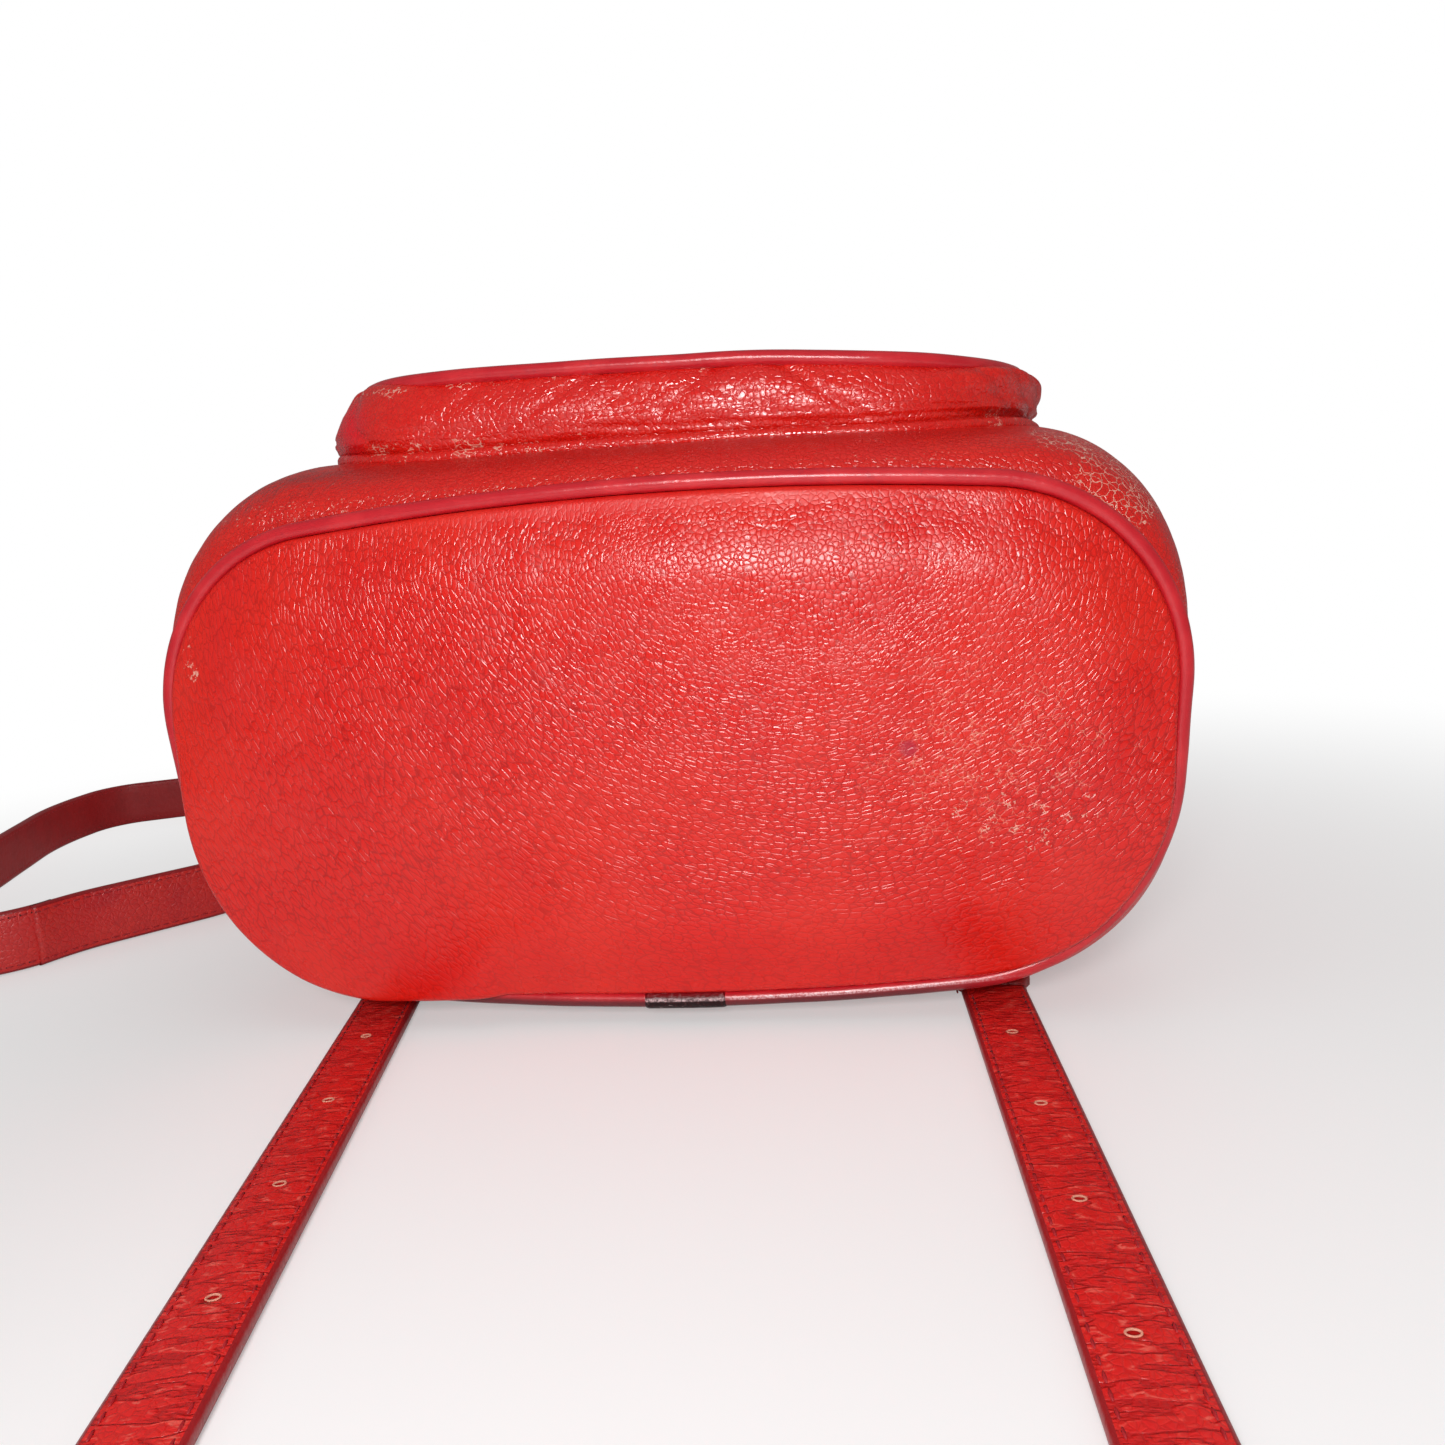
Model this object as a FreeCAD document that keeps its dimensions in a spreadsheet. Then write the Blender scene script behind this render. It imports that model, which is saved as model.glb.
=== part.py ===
import FreeCAD, Part
import Sketcher
import math
import os

# Small leather backpack lying on its back, all sizes in millimetres.
# Origin: centre of the flat outer face of the base. +X to the right seen from the base,
# +Y from the base to the mouth, +Z out of the front, which carries the pocket.

V = FreeCAD.Vector
doc = FreeCAD.newDocument("leather_backpack")
sheet = doc.addObject("Spreadsheet::Sheet", "Dimensions")

DIMENSIONS = [
    # base and its piping
    ("piping_dia", 4.2),
    ("piping_recess", 0.5),
    ("piping_inset", 0.5),
    ("seam_half_width", 130.0),
    ("seam_half_depth", 67.2),
    ("seam_side_lean", 0.076),
    ("seam_front_corner", 48.0),
    ("seam_back_corner", 56.3),
    ("seam_front_arc", 842.0),
    ("seam_back_arc", 767.0),
    ("panel_thick", 2.0),
    ("panel_edge_fall", 6.0),
    ("board_thick", 2.0),
    ("board_margin", 9.0),
    ("sleeve_length", 21.5),
    ("sleeve_wall", 0.3),
    ("sleeve_room", 0.2),
    ("sleeve_offset", 4.0),
    # body
    ("leather", 2.4),
    ("body_length", 277.0),
    ("belly_y", 58.0),
    ("belly_half_width", 136.0),
    ("belly_front", 83.6),
    ("back_depth", 69.0),
    ("belly_front_corner", 41.0),
    ("body_back_corner", 45.0),
    ("middle_y", 130.0),
    ("middle_half_width", 131.0),
    ("middle_front", 75.0),
    ("shoulder_y", 235.0),
    ("shoulder_half_width", 119.0),
    ("shoulder_front", 60.0),
    ("mouth_half_width", 114.0),
    ("mouth_front", 53.0),
    ("front_arc", 2600.0),
    ("back_arc", 6000.0),
    ("front_tilt_deg", 1.4),
    ("back_seam_depth", 48.0),
    ("lining_thick", 0.8),
    ("layer_gap", 0.2),
    ("binding_proud", 1.2),
    ("binding_width", 12.0),
    # flap over the mouth
    ("flap_half_width", 90.0),
    ("flap_tip_y", 172.0),
    ("flap_corner", 42.0),
    ("flap_root_z", -66.0),
    ("flap_clearance", 1.9),
    ("flap_lining_thick", 0.7),
    ("flap_lining_inset", 4.0),
    ("flap_lining_start", 12.0),
    ("magnet_radius", 8.5),
    ("magnet_y", 192.0),
    # front pocket
    ("pocket_half_width", 97.75),
    ("pocket_centre_x", 5.25),
    ("pocket_bottom_y", 26.0),
    ("pocket_top_y", 150.0),
    ("pocket_corner", 47.0),
    ("pocket_front_z", 99.5),
    ("gusset_wall", 2.0),
    ("gusset_flare_left", 8.5),
    ("gusset_flare_right", 3.5),
    ("lip_width", 2.5),
    ("lip_thick", 1.6),
    ("pocket_flap_half_width", 90.0),
    ("pocket_flap_tip_y", 98.0),
    ("pocket_flap_corner", 32.0),
    ("pocket_flap_bend", 5.5),
    ("pocket_flap_gap", 0.6),
    ("pocket_magnet_radius", 6.0),
    ("pocket_magnet_back", 16.0),
    ("seat_gap", 0.5),
    # straps
    ("strap_thick", 3.0),
    ("strap_width", 21.0),
    ("floor_z", -73.5),
    ("anchor_half_width", 62.0),
    ("anchor_length", 40.0),
    ("anchor_corner", 12.0),
    ("anchor_end_y", 262.3),
    ("hinge_gap", 0.3),
    ("root_x", 45.0),
    ("twist_start", 78.0),
    ("twist_length", 80.0),
    ("end_lift", 1.9),
    ("lifted_length", 58.0),
    ("lift_ramp", 60.0),
    # tongues with the holes
    ("tongue_width", 17.0),
    ("tongue_length", 188.0),
    ("tongue_hinge_y", 16.0),
    ("tongue_x", 85.5),
    ("tongue_left_turn_deg", 11.0),
    ("tongue_right_turn_deg", 2.5),
    ("hole_dia", 3.0),
    ("first_hole", 28.0),
    ("hole_pitch", 34.0),
    ("hole_count", 5),
    ("tongue_point", 6.5),
    ("tab_width", 19.6),
    ("tab_length", 38.0),
    ("tab_corner", 5.0),
    # buckles and keepers
    ("wire_dia", 2.4),
    ("buckle_inner_width", 18.0),
    ("buckle_reach", 15.0),
    ("buckle_corner", 4.0),
    ("bore_clearance", 0.05),
    ("barrel_wall", 1.7),
    ("bar_corner", 2.0),
    ("prong_ring_wall", 1.1),
    ("prong_over", 2.0),
    ("barrel_width", 17.0),
    ("prong_dia", 2.0),
    ("prong_slot", 3.6),
    ("prong_slot_back", 0.6),
    ("prong_ring_width", 2.8),
    ("neck_length", 7.0),
    ("keeper_width", 7.0),
    ("keeper_wall", 1.4),
    ("keeper_gap", 0.3),
    ("keeper_room", 3.6),
    ("fixed_keeper_back", 20.0),
    ("sliding_keeper_back", 40.0),
    # top handle
    ("handle_strip", 9.0),
    ("handle_half_span", 22.0),
    ("handle_reach", 38.0),
    ("handle_corner", 24.0),
]
for row, (alias, number) in enumerate(DIMENSIONS, start=1):
    sheet.set("A%d" % row, alias)
    sheet.set("B%d" % row, str(number))
    sheet.setAlias("B%d" % row, alias)
doc.recompute()


def size(alias):
    return float(getattr(sheet, alias))


def add_feature(label, shape):
    feature = doc.addObject("Part::Feature", label)
    feature.Label = label
    feature.Shape = shape
    return feature


# Values that several pieces share
PIPE_R = size("piping_dia") / 2
SEAM_Y = PIPE_R + size("piping_recess")
SLEEVE_R = PIPE_R + size("sleeve_room") + size("sleeve_wall")
WALL_Y = SEAM_Y + SLEEVE_R + size("layer_gap") / 2
LEATHER = size("leather")
GAP = size("layer_gap")
FLOOR = size("floor_z")
STRAP_T = size("strap_thick")
STRAP_W = size("strap_width")
MOUTH_Y = size("body_length")
TILT = size("front_tilt_deg")
SPARE = 20.0
HINGE_Y = size("anchor_end_y") + size("hinge_gap") + STRAP_T / 2
STRAP_Z = FLOOR + STRAP_T / 2


def corner_centre(half_width, lean, arc_x, arc_z, arc_r, corner, side):
    """Centre of a corner arc that touches a leaning side line and a long arc from inside."""
    norm = math.hypot(1.0, lean)
    along = (lean / norm, 1.0 / norm)
    start_x = half_width - corner / norm
    start_z = lean * corner / norm
    off_x = start_x - arc_x * side
    off_z = start_z - arc_z
    mid = off_x * along[0] + off_z * along[1]
    rest = off_x ** 2 + off_z ** 2 - (arc_r - corner) ** 2
    root = math.sqrt(mid ** 2 - rest)
    move = -mid + root if arc_z < 0 else -mid - root
    return start_x + along[0] * move, start_z + along[1] * move


def oval(y, station, offset=0.0):
    """Closed outline of the bag at one height: two leaning sides, four corners, two long arcs."""
    half_width, lean, front, back, corner_f, corner_b, arc_f, arc_b, tilt = station
    norm = math.hypot(1.0, lean)
    wide = half_width + offset * norm
    arcs = {
        "front": (-(arc_f * math.sin(math.radians(tilt))), front - arc_f, arc_f + offset, corner_f + offset),
        "back": (0.0, arc_b - back, arc_b + offset, corner_b + offset),
    }

    def corner_points(name, side):
        arc_x, arc_z, arc_r, corner = arcs[name]
        cx, cz = corner_centre(wide, lean, arc_x, arc_z, arc_r, corner, side)
        on_side = (cx + corner / norm, cz - corner * lean / norm)
        dx = cx - arc_x * side
        dz = cz - arc_z
        reach = math.hypot(dx, dz)
        on_arc = (cx + dx / reach * corner, cz + dz / reach * corner)
        mx = (on_side[0] + on_arc[0]) / 2 - cx
        mz = (on_side[1] + on_arc[1]) / 2 - cz
        span = math.hypot(mx, mz)
        middle = (cx + mx / span * corner, cz + mz / span * corner)
        return [V(side * p[0], y, p[1]) for p in (on_side, middle, on_arc)]

    fr, fl = corner_points("front", 1), corner_points("front", -1)
    br, bl = corner_points("back", 1), corner_points("back", -1)
    top_x, top_z, top_r, _ = arcs["front"]
    low_x, low_z, low_r, _ = arcs["back"]
    top_mid_x = (fr[2].x + fl[2].x) / 2
    top_mid = V(top_mid_x, y, top_z + math.sqrt(top_r ** 2 - (top_mid_x - top_x) ** 2))
    low_mid = V(low_x, y, low_z - low_r)
    edges = [
        Part.Arc(fr[0], fr[1], fr[2]).toShape(),
        Part.Arc(fr[2], top_mid, fl[2]).toShape(),
        Part.Arc(fl[2], fl[1], fl[0]).toShape(),
        Part.makeLine(fl[0], bl[0]),
        Part.Arc(bl[0], bl[1], bl[2]).toShape(),
        Part.Arc(bl[2], low_mid, br[2]).toShape(),
        Part.Arc(br[2], br[1], br[0]).toShape(),
        Part.makeLine(br[0], fr[0]),
    ]
    return Part.Wire(edges)


SEAM = (
    size("seam_half_width"), size("seam_side_lean"), size("seam_half_depth"), size("seam_half_depth"),
    size("seam_front_corner"), size("seam_back_corner"), size("seam_front_arc"), size("seam_back_arc"), 0.0,
)


def body_station(half_width, front, tilt):
    return (
        half_width, 0.02, front, size("back_depth"), size("belly_front_corner"),
        size("body_back_corner"), size("front_arc"), size("back_arc"), tilt,
    )


BODY = [
    (WALL_Y, SEAM),
    (size("belly_y"), body_station(size("belly_half_width"), size("belly_front"), TILT)),
    (size("middle_y"), body_station(size("middle_half_width"), size("middle_front"), TILT)),
    (size("shoulder_y"), body_station(size("shoulder_half_width"), size("shoulder_front"), TILT / 2)),
    (MOUTH_Y, body_station(size("mouth_half_width"), size("mouth_front"), 0.0)),
]
STEPS_BETWEEN = (4, 3, 4, 2)


def blended(low, high, share):
    return tuple(a + (b - a) * share for a, b in zip(low, high))


def body_solid(offset, start_y=None, end_y=None):
    """The bag's outer shape, grown or shrunk by an offset, with its two ends where asked."""
    wires = []
    if start_y is not None and start_y < WALL_Y:
        wires.append(oval(start_y, SEAM, offset))
        start_y = None
    for index, steps in enumerate(STEPS_BETWEEN):
        (y0, low), (y1, high) = BODY[index], BODY[index + 1]
        for step in range(steps):
            part = step / steps
            if index == 0:
                y = y0 + (y1 - y0) * (1 - math.cos(part * math.pi / 2))
                share = math.sin(part * math.pi / 2)
            else:
                y = y0 + (y1 - y0) * part
                share = (1 - math.cos(part * math.pi)) / 2
            if index == 0 and step == 0 and start_y is not None:
                y = start_y
            wires.append(oval(y, blended(low, high, share), offset))
    wires.append(oval(MOUTH_Y, BODY[-1][1], offset))
    if end_y is not None and end_y > MOUTH_Y:
        wires.append(oval(end_y, BODY[-1][1], offset))
    return Part.makeLoft(wires, True, True)


def slab(x0, x1, y0, y1, z0, z1):
    return Part.makeBox(x1 - x0, y1 - y0, z1 - z0, V(x0, y0, z0))


def new_body(label):
    body = doc.addObject("PartDesign::Body", label)
    body.Label = label
    return body


def new_sketch(body, name, role):
    """A sketch on one of the body's own origin planes."""
    plane = [item for item in body.Origin.OriginFeatures if item.Role == role][0]
    sketch = body.newObject("Sketcher::SketchObject", name)
    sketch.AttachmentSupport = [(plane, "")]
    sketch.MapMode = "FlatFace"
    return sketch


def add_rectangle(sketch, name, width, low, high, below=False):
    """Rectangle centred on the sketch's upright axis, sizes as expressions.

    Low is the lower line's distance from the origin, under it where below is true.
    """
    first = len(sketch.Geometry)
    w, y0, y1 = 10.0, (-5.0 if below else 5.0), 9.0
    low_line = (first, 1, -1, 1, 5.0) if below else (-1, 1, first, 1, 5.0)
    corners = [V(-w, y0, 0), V(w, y0, 0), V(w, y1, 0), V(-w, y1, 0)]
    for index in range(4):
        sketch.addGeometry(Part.LineSegment(corners[index], corners[(index + 1) % 4]), False)
    for index in range(4):
        following = first + (index + 1) % 4
        sketch.addConstraint(Sketcher.Constraint("Coincident", first + index, 2, following, 1))
    for index, kind in enumerate(("Vertical", "Horizontal", "Vertical"), start=1):
        sketch.addConstraint(Sketcher.Constraint(kind, first + index))
    sketch.addConstraint(Sketcher.Constraint("Symmetric", first, 1, first, 2, -2))
    bound = (
        ("width", Sketcher.Constraint("DistanceX", first, 1, first, 2, 2 * w), width),
        ("low", Sketcher.Constraint("DistanceY", *low_line), low),
        ("high", Sketcher.Constraint("DistanceY", -1, 1, first + 2, 1, y1), high),
    )
    for word, constraint, expression in bound:
        number = sketch.addConstraint(constraint)
        sketch.renameConstraint(number, name + word)
        sketch.setExpression("Constraints." + name + word, expression)


def add_pad(body, name, sketch, length):
    pad = body.newObject("PartDesign::Pad", name)
    pad.Profile = sketch
    pad.setExpression("Length", length)
    sketch.Visibility = False
    doc.recompute()
    return pad


def edges_where(shape, test):
    return ["Edge%d" % (number + 1) for number, edge in enumerate(shape.Edges) if test(edge)]


def add_fillet(body, name, base, edge_names, radius):
    fillet = body.newObject("PartDesign::Fillet", name)
    fillet.Base = (base, edge_names)
    fillet.setExpression("Radius", radius)
    doc.recompute()
    return fillet


def upright(edge):
    return abs(edge.tangentAt(edge.FirstParameter).z) > 0.9


def level_x(edge):
    return abs(edge.tangentAt(edge.FirstParameter).x) > 0.9


# Base: panel, board and piping with the sleeve over its joint
inset = SLEEVE_R + GAP
base_panel = Part.makeLoft(
    [oval(0.0, SEAM, -inset - size("panel_edge_fall")), oval(size("panel_thick"), SEAM, -inset)], True, True
)
add_feature("base_panel", base_panel)

board_y = size("panel_thick") + GAP
board_face = Part.Face(oval(board_y, SEAM, -size("board_margin")))
add_feature("base_board", board_face.extrude(V(0, size("board_thick"), 0)))

piping_path = oval(SEAM_Y, SEAM)


def sweep_round(path, radius):
    """A round rod along a wire."""
    edge = path.OrderedEdges[0]
    start = edge.valueAt(edge.FirstParameter)
    tangent = edge.tangentAt(edge.FirstParameter)
    profile = Part.Wire(Part.makeCircle(radius, start, tangent))
    return path.makePipeShell([profile], True, False)


add_feature("base_piping", sweep_round(piping_path, PIPE_R))

sleeve_outer = doc.addObject("Part::Cylinder", "SleeveOuter")
sleeve_inner = doc.addObject("Part::Cylinder", "SleeveInner")
sleeve_outer.setExpression("Radius", "Dimensions.piping_dia / 2 + Dimensions.sleeve_room + Dimensions.sleeve_wall")
sleeve_inner.setExpression("Radius", "Dimensions.piping_dia / 2 + Dimensions.sleeve_room")
sleeve_start = V(size("sleeve_offset") - size("sleeve_length") / 2, SEAM_Y, -size("seam_half_depth"))
for cylinder in (sleeve_outer, sleeve_inner):
    cylinder.setExpression("Height", "Dimensions.sleeve_length")
    cylinder.Placement = FreeCAD.Placement(sleeve_start, FreeCAD.Rotation(V(0, 1, 0), 90))
sleeve = doc.addObject("Part::Cut", "piping_sleeve")
sleeve.Base = sleeve_outer
sleeve.Tool = sleeve_inner
sleeve.Label = "piping_sleeve"

# Body walls, lining and the binding round the mouth
FAR = 400.0
outer = body_solid(0.0)
inner = body_solid(-LEATHER, WALL_Y - 1.0, MOUTH_Y + 1.0)
wall = outer.cut(inner)
back_side = slab(-FAR, FAR, -FAR, 2 * FAR, -FAR, -size("back_seam_depth"))
binding_start = MOUTH_Y - size("binding_width")
proud = size("binding_proud")
lining_gap = LEATHER + GAP
lining_in = lining_gap + size("lining_thick")
lining = body_solid(-lining_gap, WALL_Y, MOUTH_Y).cut(
    body_solid(-lining_in, WALL_Y + size("lining_thick"), MOUTH_Y + 1.0)
)
ring = body_solid(proud, WALL_Y, MOUTH_Y + proud)
ring = ring.common(slab(-FAR, FAR, binding_start, FAR, -FAR, FAR))
ring = ring.cut(body_solid(-lining_in - proud, WALL_Y, MOUTH_Y + proud + 1.0))
edge_room = body_solid(GAP / 2, WALL_Y, MOUTH_Y + GAP).cut(
    body_solid(-lining_in - GAP / 2, WALL_Y, MOUTH_Y + proud + 1.0)
)
room_cap = slab(-FAR, FAR, binding_start - 1.0, MOUTH_Y + GAP, -FAR, FAR)
binding = ring.cut(edge_room.common(room_cap))
add_feature("body_front", wall.cut(back_side))
add_feature("back_panel", wall.common(back_side))
add_feature("body_lining", lining)
add_feature("mouth_binding", binding)

# Flap over the mouth: a hood around the bag, cut to the flap's outline
flap_in = size("flap_clearance")
flap_end = MOUTH_Y + proud + 0.5
lining_t = size("flap_lining_thick")


def hood(inner_offset, inner_end, thick):
    outside = body_solid(inner_offset + thick, WALL_Y, inner_end + thick)
    return outside.cut(body_solid(inner_offset, WALL_Y - 1.0, inner_end))


def plan_prism(half_width, tip_y, end_y, corner, z0, z1, centre_x=0.0):
    """Upright prism whose near end has two round corners."""
    x0, x1 = centre_x - half_width, centre_x + half_width
    cut = corner * (1 - math.sqrt(0.5))
    edges = [
        Part.makeLine(V(x0, end_y, z0), V(x0, tip_y + corner, z0)),
        Part.Arc(V(x0, tip_y + corner, z0), V(x0 + cut, tip_y + cut, z0), V(x0 + corner, tip_y, z0)).toShape(),
        Part.makeLine(V(x0 + corner, tip_y, z0), V(x1 - corner, tip_y, z0)),
        Part.Arc(V(x1 - corner, tip_y, z0), V(x1 - cut, tip_y + cut, z0), V(x1, tip_y + corner, z0)).toShape(),
        Part.makeLine(V(x1, tip_y + corner, z0), V(x1, end_y, z0)),
        Part.makeLine(V(x1, end_y, z0), V(x0, end_y, z0)),
    ]
    return Part.Face(Part.Wire(edges)).extrude(V(0, 0, z1 - z0))


flap_half = size("flap_half_width")
lining_edge = size("flap_lining_inset")
flap_cut = plan_prism(flap_half, size("flap_tip_y"), MOUTH_Y + SPARE, size("flap_corner"),
                      size("flap_root_z"), FAR)
lining_cut = plan_prism(flap_half - lining_edge, size("flap_tip_y") + lining_edge, MOUTH_Y + SPARE,
                        size("flap_corner") - lining_edge, size("flap_root_z") + size("flap_lining_start"), FAR)
flap_shift = flap_end + lining_t
flap = hood(flap_in + lining_t, flap_shift, LEATHER).common(flap_cut)
flap_hinge = V(0, flap_shift + LEATHER / 2, size("flap_root_z"))
root_rod = Part.makeCylinder(LEATHER / 2, 2 * flap_half, V(-flap_half, flap_hinge.y, flap_hinge.z), V(1, 0, 0))
add_feature("main_flap", flap.fuse(root_rod).removeSplitter())
add_feature("main_flap_lining", hood(flap_in, flap_end, lining_t).common(lining_cut))


def front_height(y, x=0.0):
    """Height of the bag's front over a point, found on the solid itself."""
    probe = Part.makeLine(V(x, y, 0), V(x, y, 200.0))
    return probe.common(outer).BoundBox.ZMax


# Disc of the hidden magnetic closure, on the front under the flap
disc_gap = size("hinge_gap")
body_disc = Part.makeCylinder(size("magnet_radius"), 2 * FAR, V(0, size("magnet_y"), 0))
body_disc = body_disc.common(body_solid(flap_in - disc_gap)).cut(body_solid(GAP / 2))
add_feature("body_magnet", body_disc)

# Front pocket
pocket_x = size("pocket_centre_x")
pocket_z = size("pocket_front_z")
pocket_pivot = V(pocket_x, 0, size("belly_front"))


def tilted(shape):
    turned = shape.copy()
    turned.rotate(pocket_pivot, V(0, 1, 0), TILT)
    return turned


def pocket_prism(grow, z0, z1, top=0.0):
    return plan_prism(size("pocket_half_width") + grow, size("pocket_bottom_y") - grow,
                      size("pocket_top_y") + top, size("pocket_corner") + grow, z0, z1, pocket_x)


gusset_top = pocket_z - PIPE_R - GAP
gusset_low = size("belly_front") - size("lip_thick")
flare_left, flare_right = size("gusset_flare_left"), size("gusset_flare_right")


def pocket_outline(grow, z, top, flare):
    """Outline of the pocket at one height; flare is how much of the band's lean it has there."""
    left = size("pocket_half_width") + grow + flare * flare_left
    right = size("pocket_half_width") + grow + flare * flare_right
    middle = pocket_x + (right - left) / 2
    prism = plan_prism((left + right) / 2, size("pocket_bottom_y") - grow, size("pocket_top_y") + top,
                       size("pocket_corner") + grow, z, z + 1.0, middle)
    return min(prism.Faces, key=lambda face: face.CenterOfMass.z).OuterWire


def pocket_loft(grow, top=0.0, beyond=0.0):
    """Solid inside the pocket's leaning side band, from below the body's skin to its top edge."""
    flare = 1.0 + beyond / (gusset_top - gusset_low)
    wires = [pocket_outline(grow, gusset_low - beyond, top, flare), pocket_outline(grow, gusset_top, top, 0.0)]
    return Part.makeLoft(wires, True, True)


skin = body_solid(GAP / 2, WALL_Y, MOUTH_Y)
gusset_wall = size("gusset_wall")
depth_below = size("belly_front_corner")
hollow = pocket_loft(-gusset_wall, 5.0, depth_below)
hollow_mouth = Part.Face(pocket_outline(-gusset_wall, gusset_top, 5.0, 0.0)).extrude(V(0, 0, 5.0))
lip_face = Part.Face(pocket_outline(size("lip_width"), gusset_top, 0.0, 1.0))
lip_prism = lip_face.extrude(V(0, 0, gusset_low - depth_below - gusset_top))
band = tilted(pocket_loft(0.0, 0.0, depth_below).cut(hollow.fuse(hollow_mouth)))
lip_skin = body_solid(GAP / 2 + size("lip_thick"), WALL_Y, MOUTH_Y)
lip = tilted(lip_prism.cut(hollow)).common(lip_skin)
gusset = band.fuse(lip).cut(skin)
add_feature("pocket_gusset", gusset.removeSplitter())

front_inset = PIPE_R + size("piping_inset") + GAP
front_plate = pocket_prism(-front_inset, gusset_top + GAP, gusset_top + GAP + LEATHER, 0.0)
add_feature("pocket_front", tilted(front_plate))

piping_left = pocket_x - size("pocket_half_width") + size("piping_inset")
piping_right = pocket_x + size("pocket_half_width") - size("piping_inset")
piping_low = size("pocket_bottom_y") + size("piping_inset")
piping_high = size("pocket_top_y")
bend = size("pocket_corner") - size("piping_inset")
near = bend * (1 - math.sqrt(0.5))
left_end = V(piping_left, piping_high, pocket_z)
left_turn = V(piping_left, piping_low + bend, pocket_z)
left_low = V(piping_left + bend, piping_low, pocket_z)
right_low = V(piping_right - bend, piping_low, pocket_z)
right_turn = V(piping_right, piping_low + bend, pocket_z)
right_end = V(piping_right, piping_high, pocket_z)
left_middle = V(piping_left + near, piping_low + near, pocket_z)
right_middle = V(piping_right - near, piping_low + near, pocket_z)
pocket_path = Part.Wire([
    Part.makeLine(left_end, left_turn),
    Part.Arc(left_turn, left_middle, left_low).toShape(),
    Part.makeLine(left_low, right_low),
    Part.Arc(right_low, right_middle, right_turn).toShape(),
    Part.makeLine(right_turn, right_end),
])
add_feature("pocket_piping", tilted(sweep_round(pocket_path, PIPE_R)))


def rounded_route(points, radii):
    """Straight runs and tangent arcs through a list of corner points; gives the route's pieces."""
    pieces = []
    here = points[0]
    for index in range(1, len(points) - 1):
        before, corner, after = points[index - 1], points[index], points[index + 1]
        way_in = (corner - before).normalize()
        way_out = (after - corner).normalize()
        turn = way_in.getAngle(way_out)
        reach = radii[index - 1] * math.tan(turn / 2)
        start = corner - way_in * reach
        end = corner + way_out * reach
        bisector = (way_out - way_in).normalize()
        centre = corner + bisector * (radii[index - 1] / math.cos(turn / 2))
        middle = centre - bisector * radii[index - 1]
        pieces.append(("line", here, start))
        pieces.append(("arc", start, middle, end, centre))
        here = end
    pieces.append(("line", here, points[-1]))
    return pieces


def route_wire(pieces):
    edges = []
    for piece in pieces:
        if piece[0] == "line":
            edges.append(Part.makeLine(piece[1], piece[2]))
        else:
            edges.append(Part.Arc(piece[1], piece[2], piece[3]).toShape())
    return Part.Wire(edges)


# Pocket flap: bent strip from the body over the pocket's mouth and down its front
flap_t = LEATHER
pf_z = pocket_z + PIPE_R + size("pocket_flap_gap") + flap_t / 2
pf_y = size("pocket_top_y") + size("pocket_flap_gap") + 1.0 + flap_t / 2
pf_root_z = front_height(pf_y, pocket_x) + size("seat_gap") + flap_t / 2
pf_bend = size("pocket_flap_bend")
pf_tip = size("pocket_flap_tip_y")
print("main flap hinge", flap_hinge)
print("pocket flap hinge", pf_y, pf_root_z)


def bent_strip(shift):
    """Side view of the strip on one side of its middle line, as a list of edges."""
    y = pf_y + shift
    z = pf_z + shift
    bend = pf_bend + shift
    k = bend * (1 - math.sqrt(0.5))
    a, b = V(0, y, pf_root_z), V(0, y, z - bend)
    c, d = V(0, y - k, z - k), V(0, y - bend, z)
    e = V(0, pf_tip - SPARE, z)
    return a, b, c, d, e


out = bent_strip(flap_t / 2)
inn = bent_strip(-flap_t / 2)
strip_edges = [
    Part.makeLine(out[0], out[1]), Part.Arc(out[1], out[2], out[3]).toShape(), Part.makeLine(out[3], out[4]),
    Part.makeLine(out[4], inn[4]), Part.makeLine(inn[4], inn[3]),
    Part.Arc(inn[3], inn[2], inn[1]).toShape(), Part.makeLine(inn[1], inn[0]),
    Part.Arc(inn[0], V(0, pf_y, pf_root_z - flap_t / 2), out[0]).toShape(),
]
pf_half = size("pocket_flap_half_width")
strip = Part.Face(Part.Wire(strip_edges)).extrude(V(2 * pf_half, 0, 0))
strip.translate(V(pocket_x - pf_half, 0, 0))
pf_plan = plan_prism(pf_half, pf_tip, pf_y + SPARE, size("pocket_flap_corner"), pf_root_z - SPARE, pf_z + SPARE,
                     pocket_x)
add_feature("pocket_flap", tilted(strip.common(pf_plan)))

pm_y = pf_tip + size("pocket_magnet_back")
pm_z = gusset_top + GAP + LEATHER
pm_room = pf_z - flap_t / 2 - pm_z
pocket_disc = doc.addObject("Part::Cylinder", "pocket_magnet")
pocket_disc.Label = "pocket_magnet"
pocket_disc.setExpression("Radius", "Dimensions.pocket_magnet_radius")
pocket_disc.Height = pm_room - disc_gap
tilt_turn = FreeCAD.Placement(V(0, 0, 0), FreeCAD.Rotation(V(0, 1, 0), TILT), pocket_pivot)
pocket_disc.Placement = tilt_turn.multiply(FreeCAD.Placement(V(pocket_x, pm_y, pm_z), FreeCAD.Rotation()))


# Straps
STRAIGHT_STEP = 22.0
ARC_STEP_DEG = 12.0


def strap_frame(point, heading, twist, lift):
    """Cross-section axes of a strap that leans over by the twist while its low edge stays down."""
    side = V(-heading.y, heading.x, 0)
    wide = side * math.cos(twist) + V(0, 0, 1) * math.sin(twist)
    thick = V(0, 0, 1) * math.cos(twist) - side * math.sin(twist)
    rise = abs(math.sin(twist)) * STRAP_W / 2 + abs(math.cos(twist)) * STRAP_T / 2
    middle = V(point.x, point.y, FLOOR + rise + lift)
    return middle, wide, thick


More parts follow.
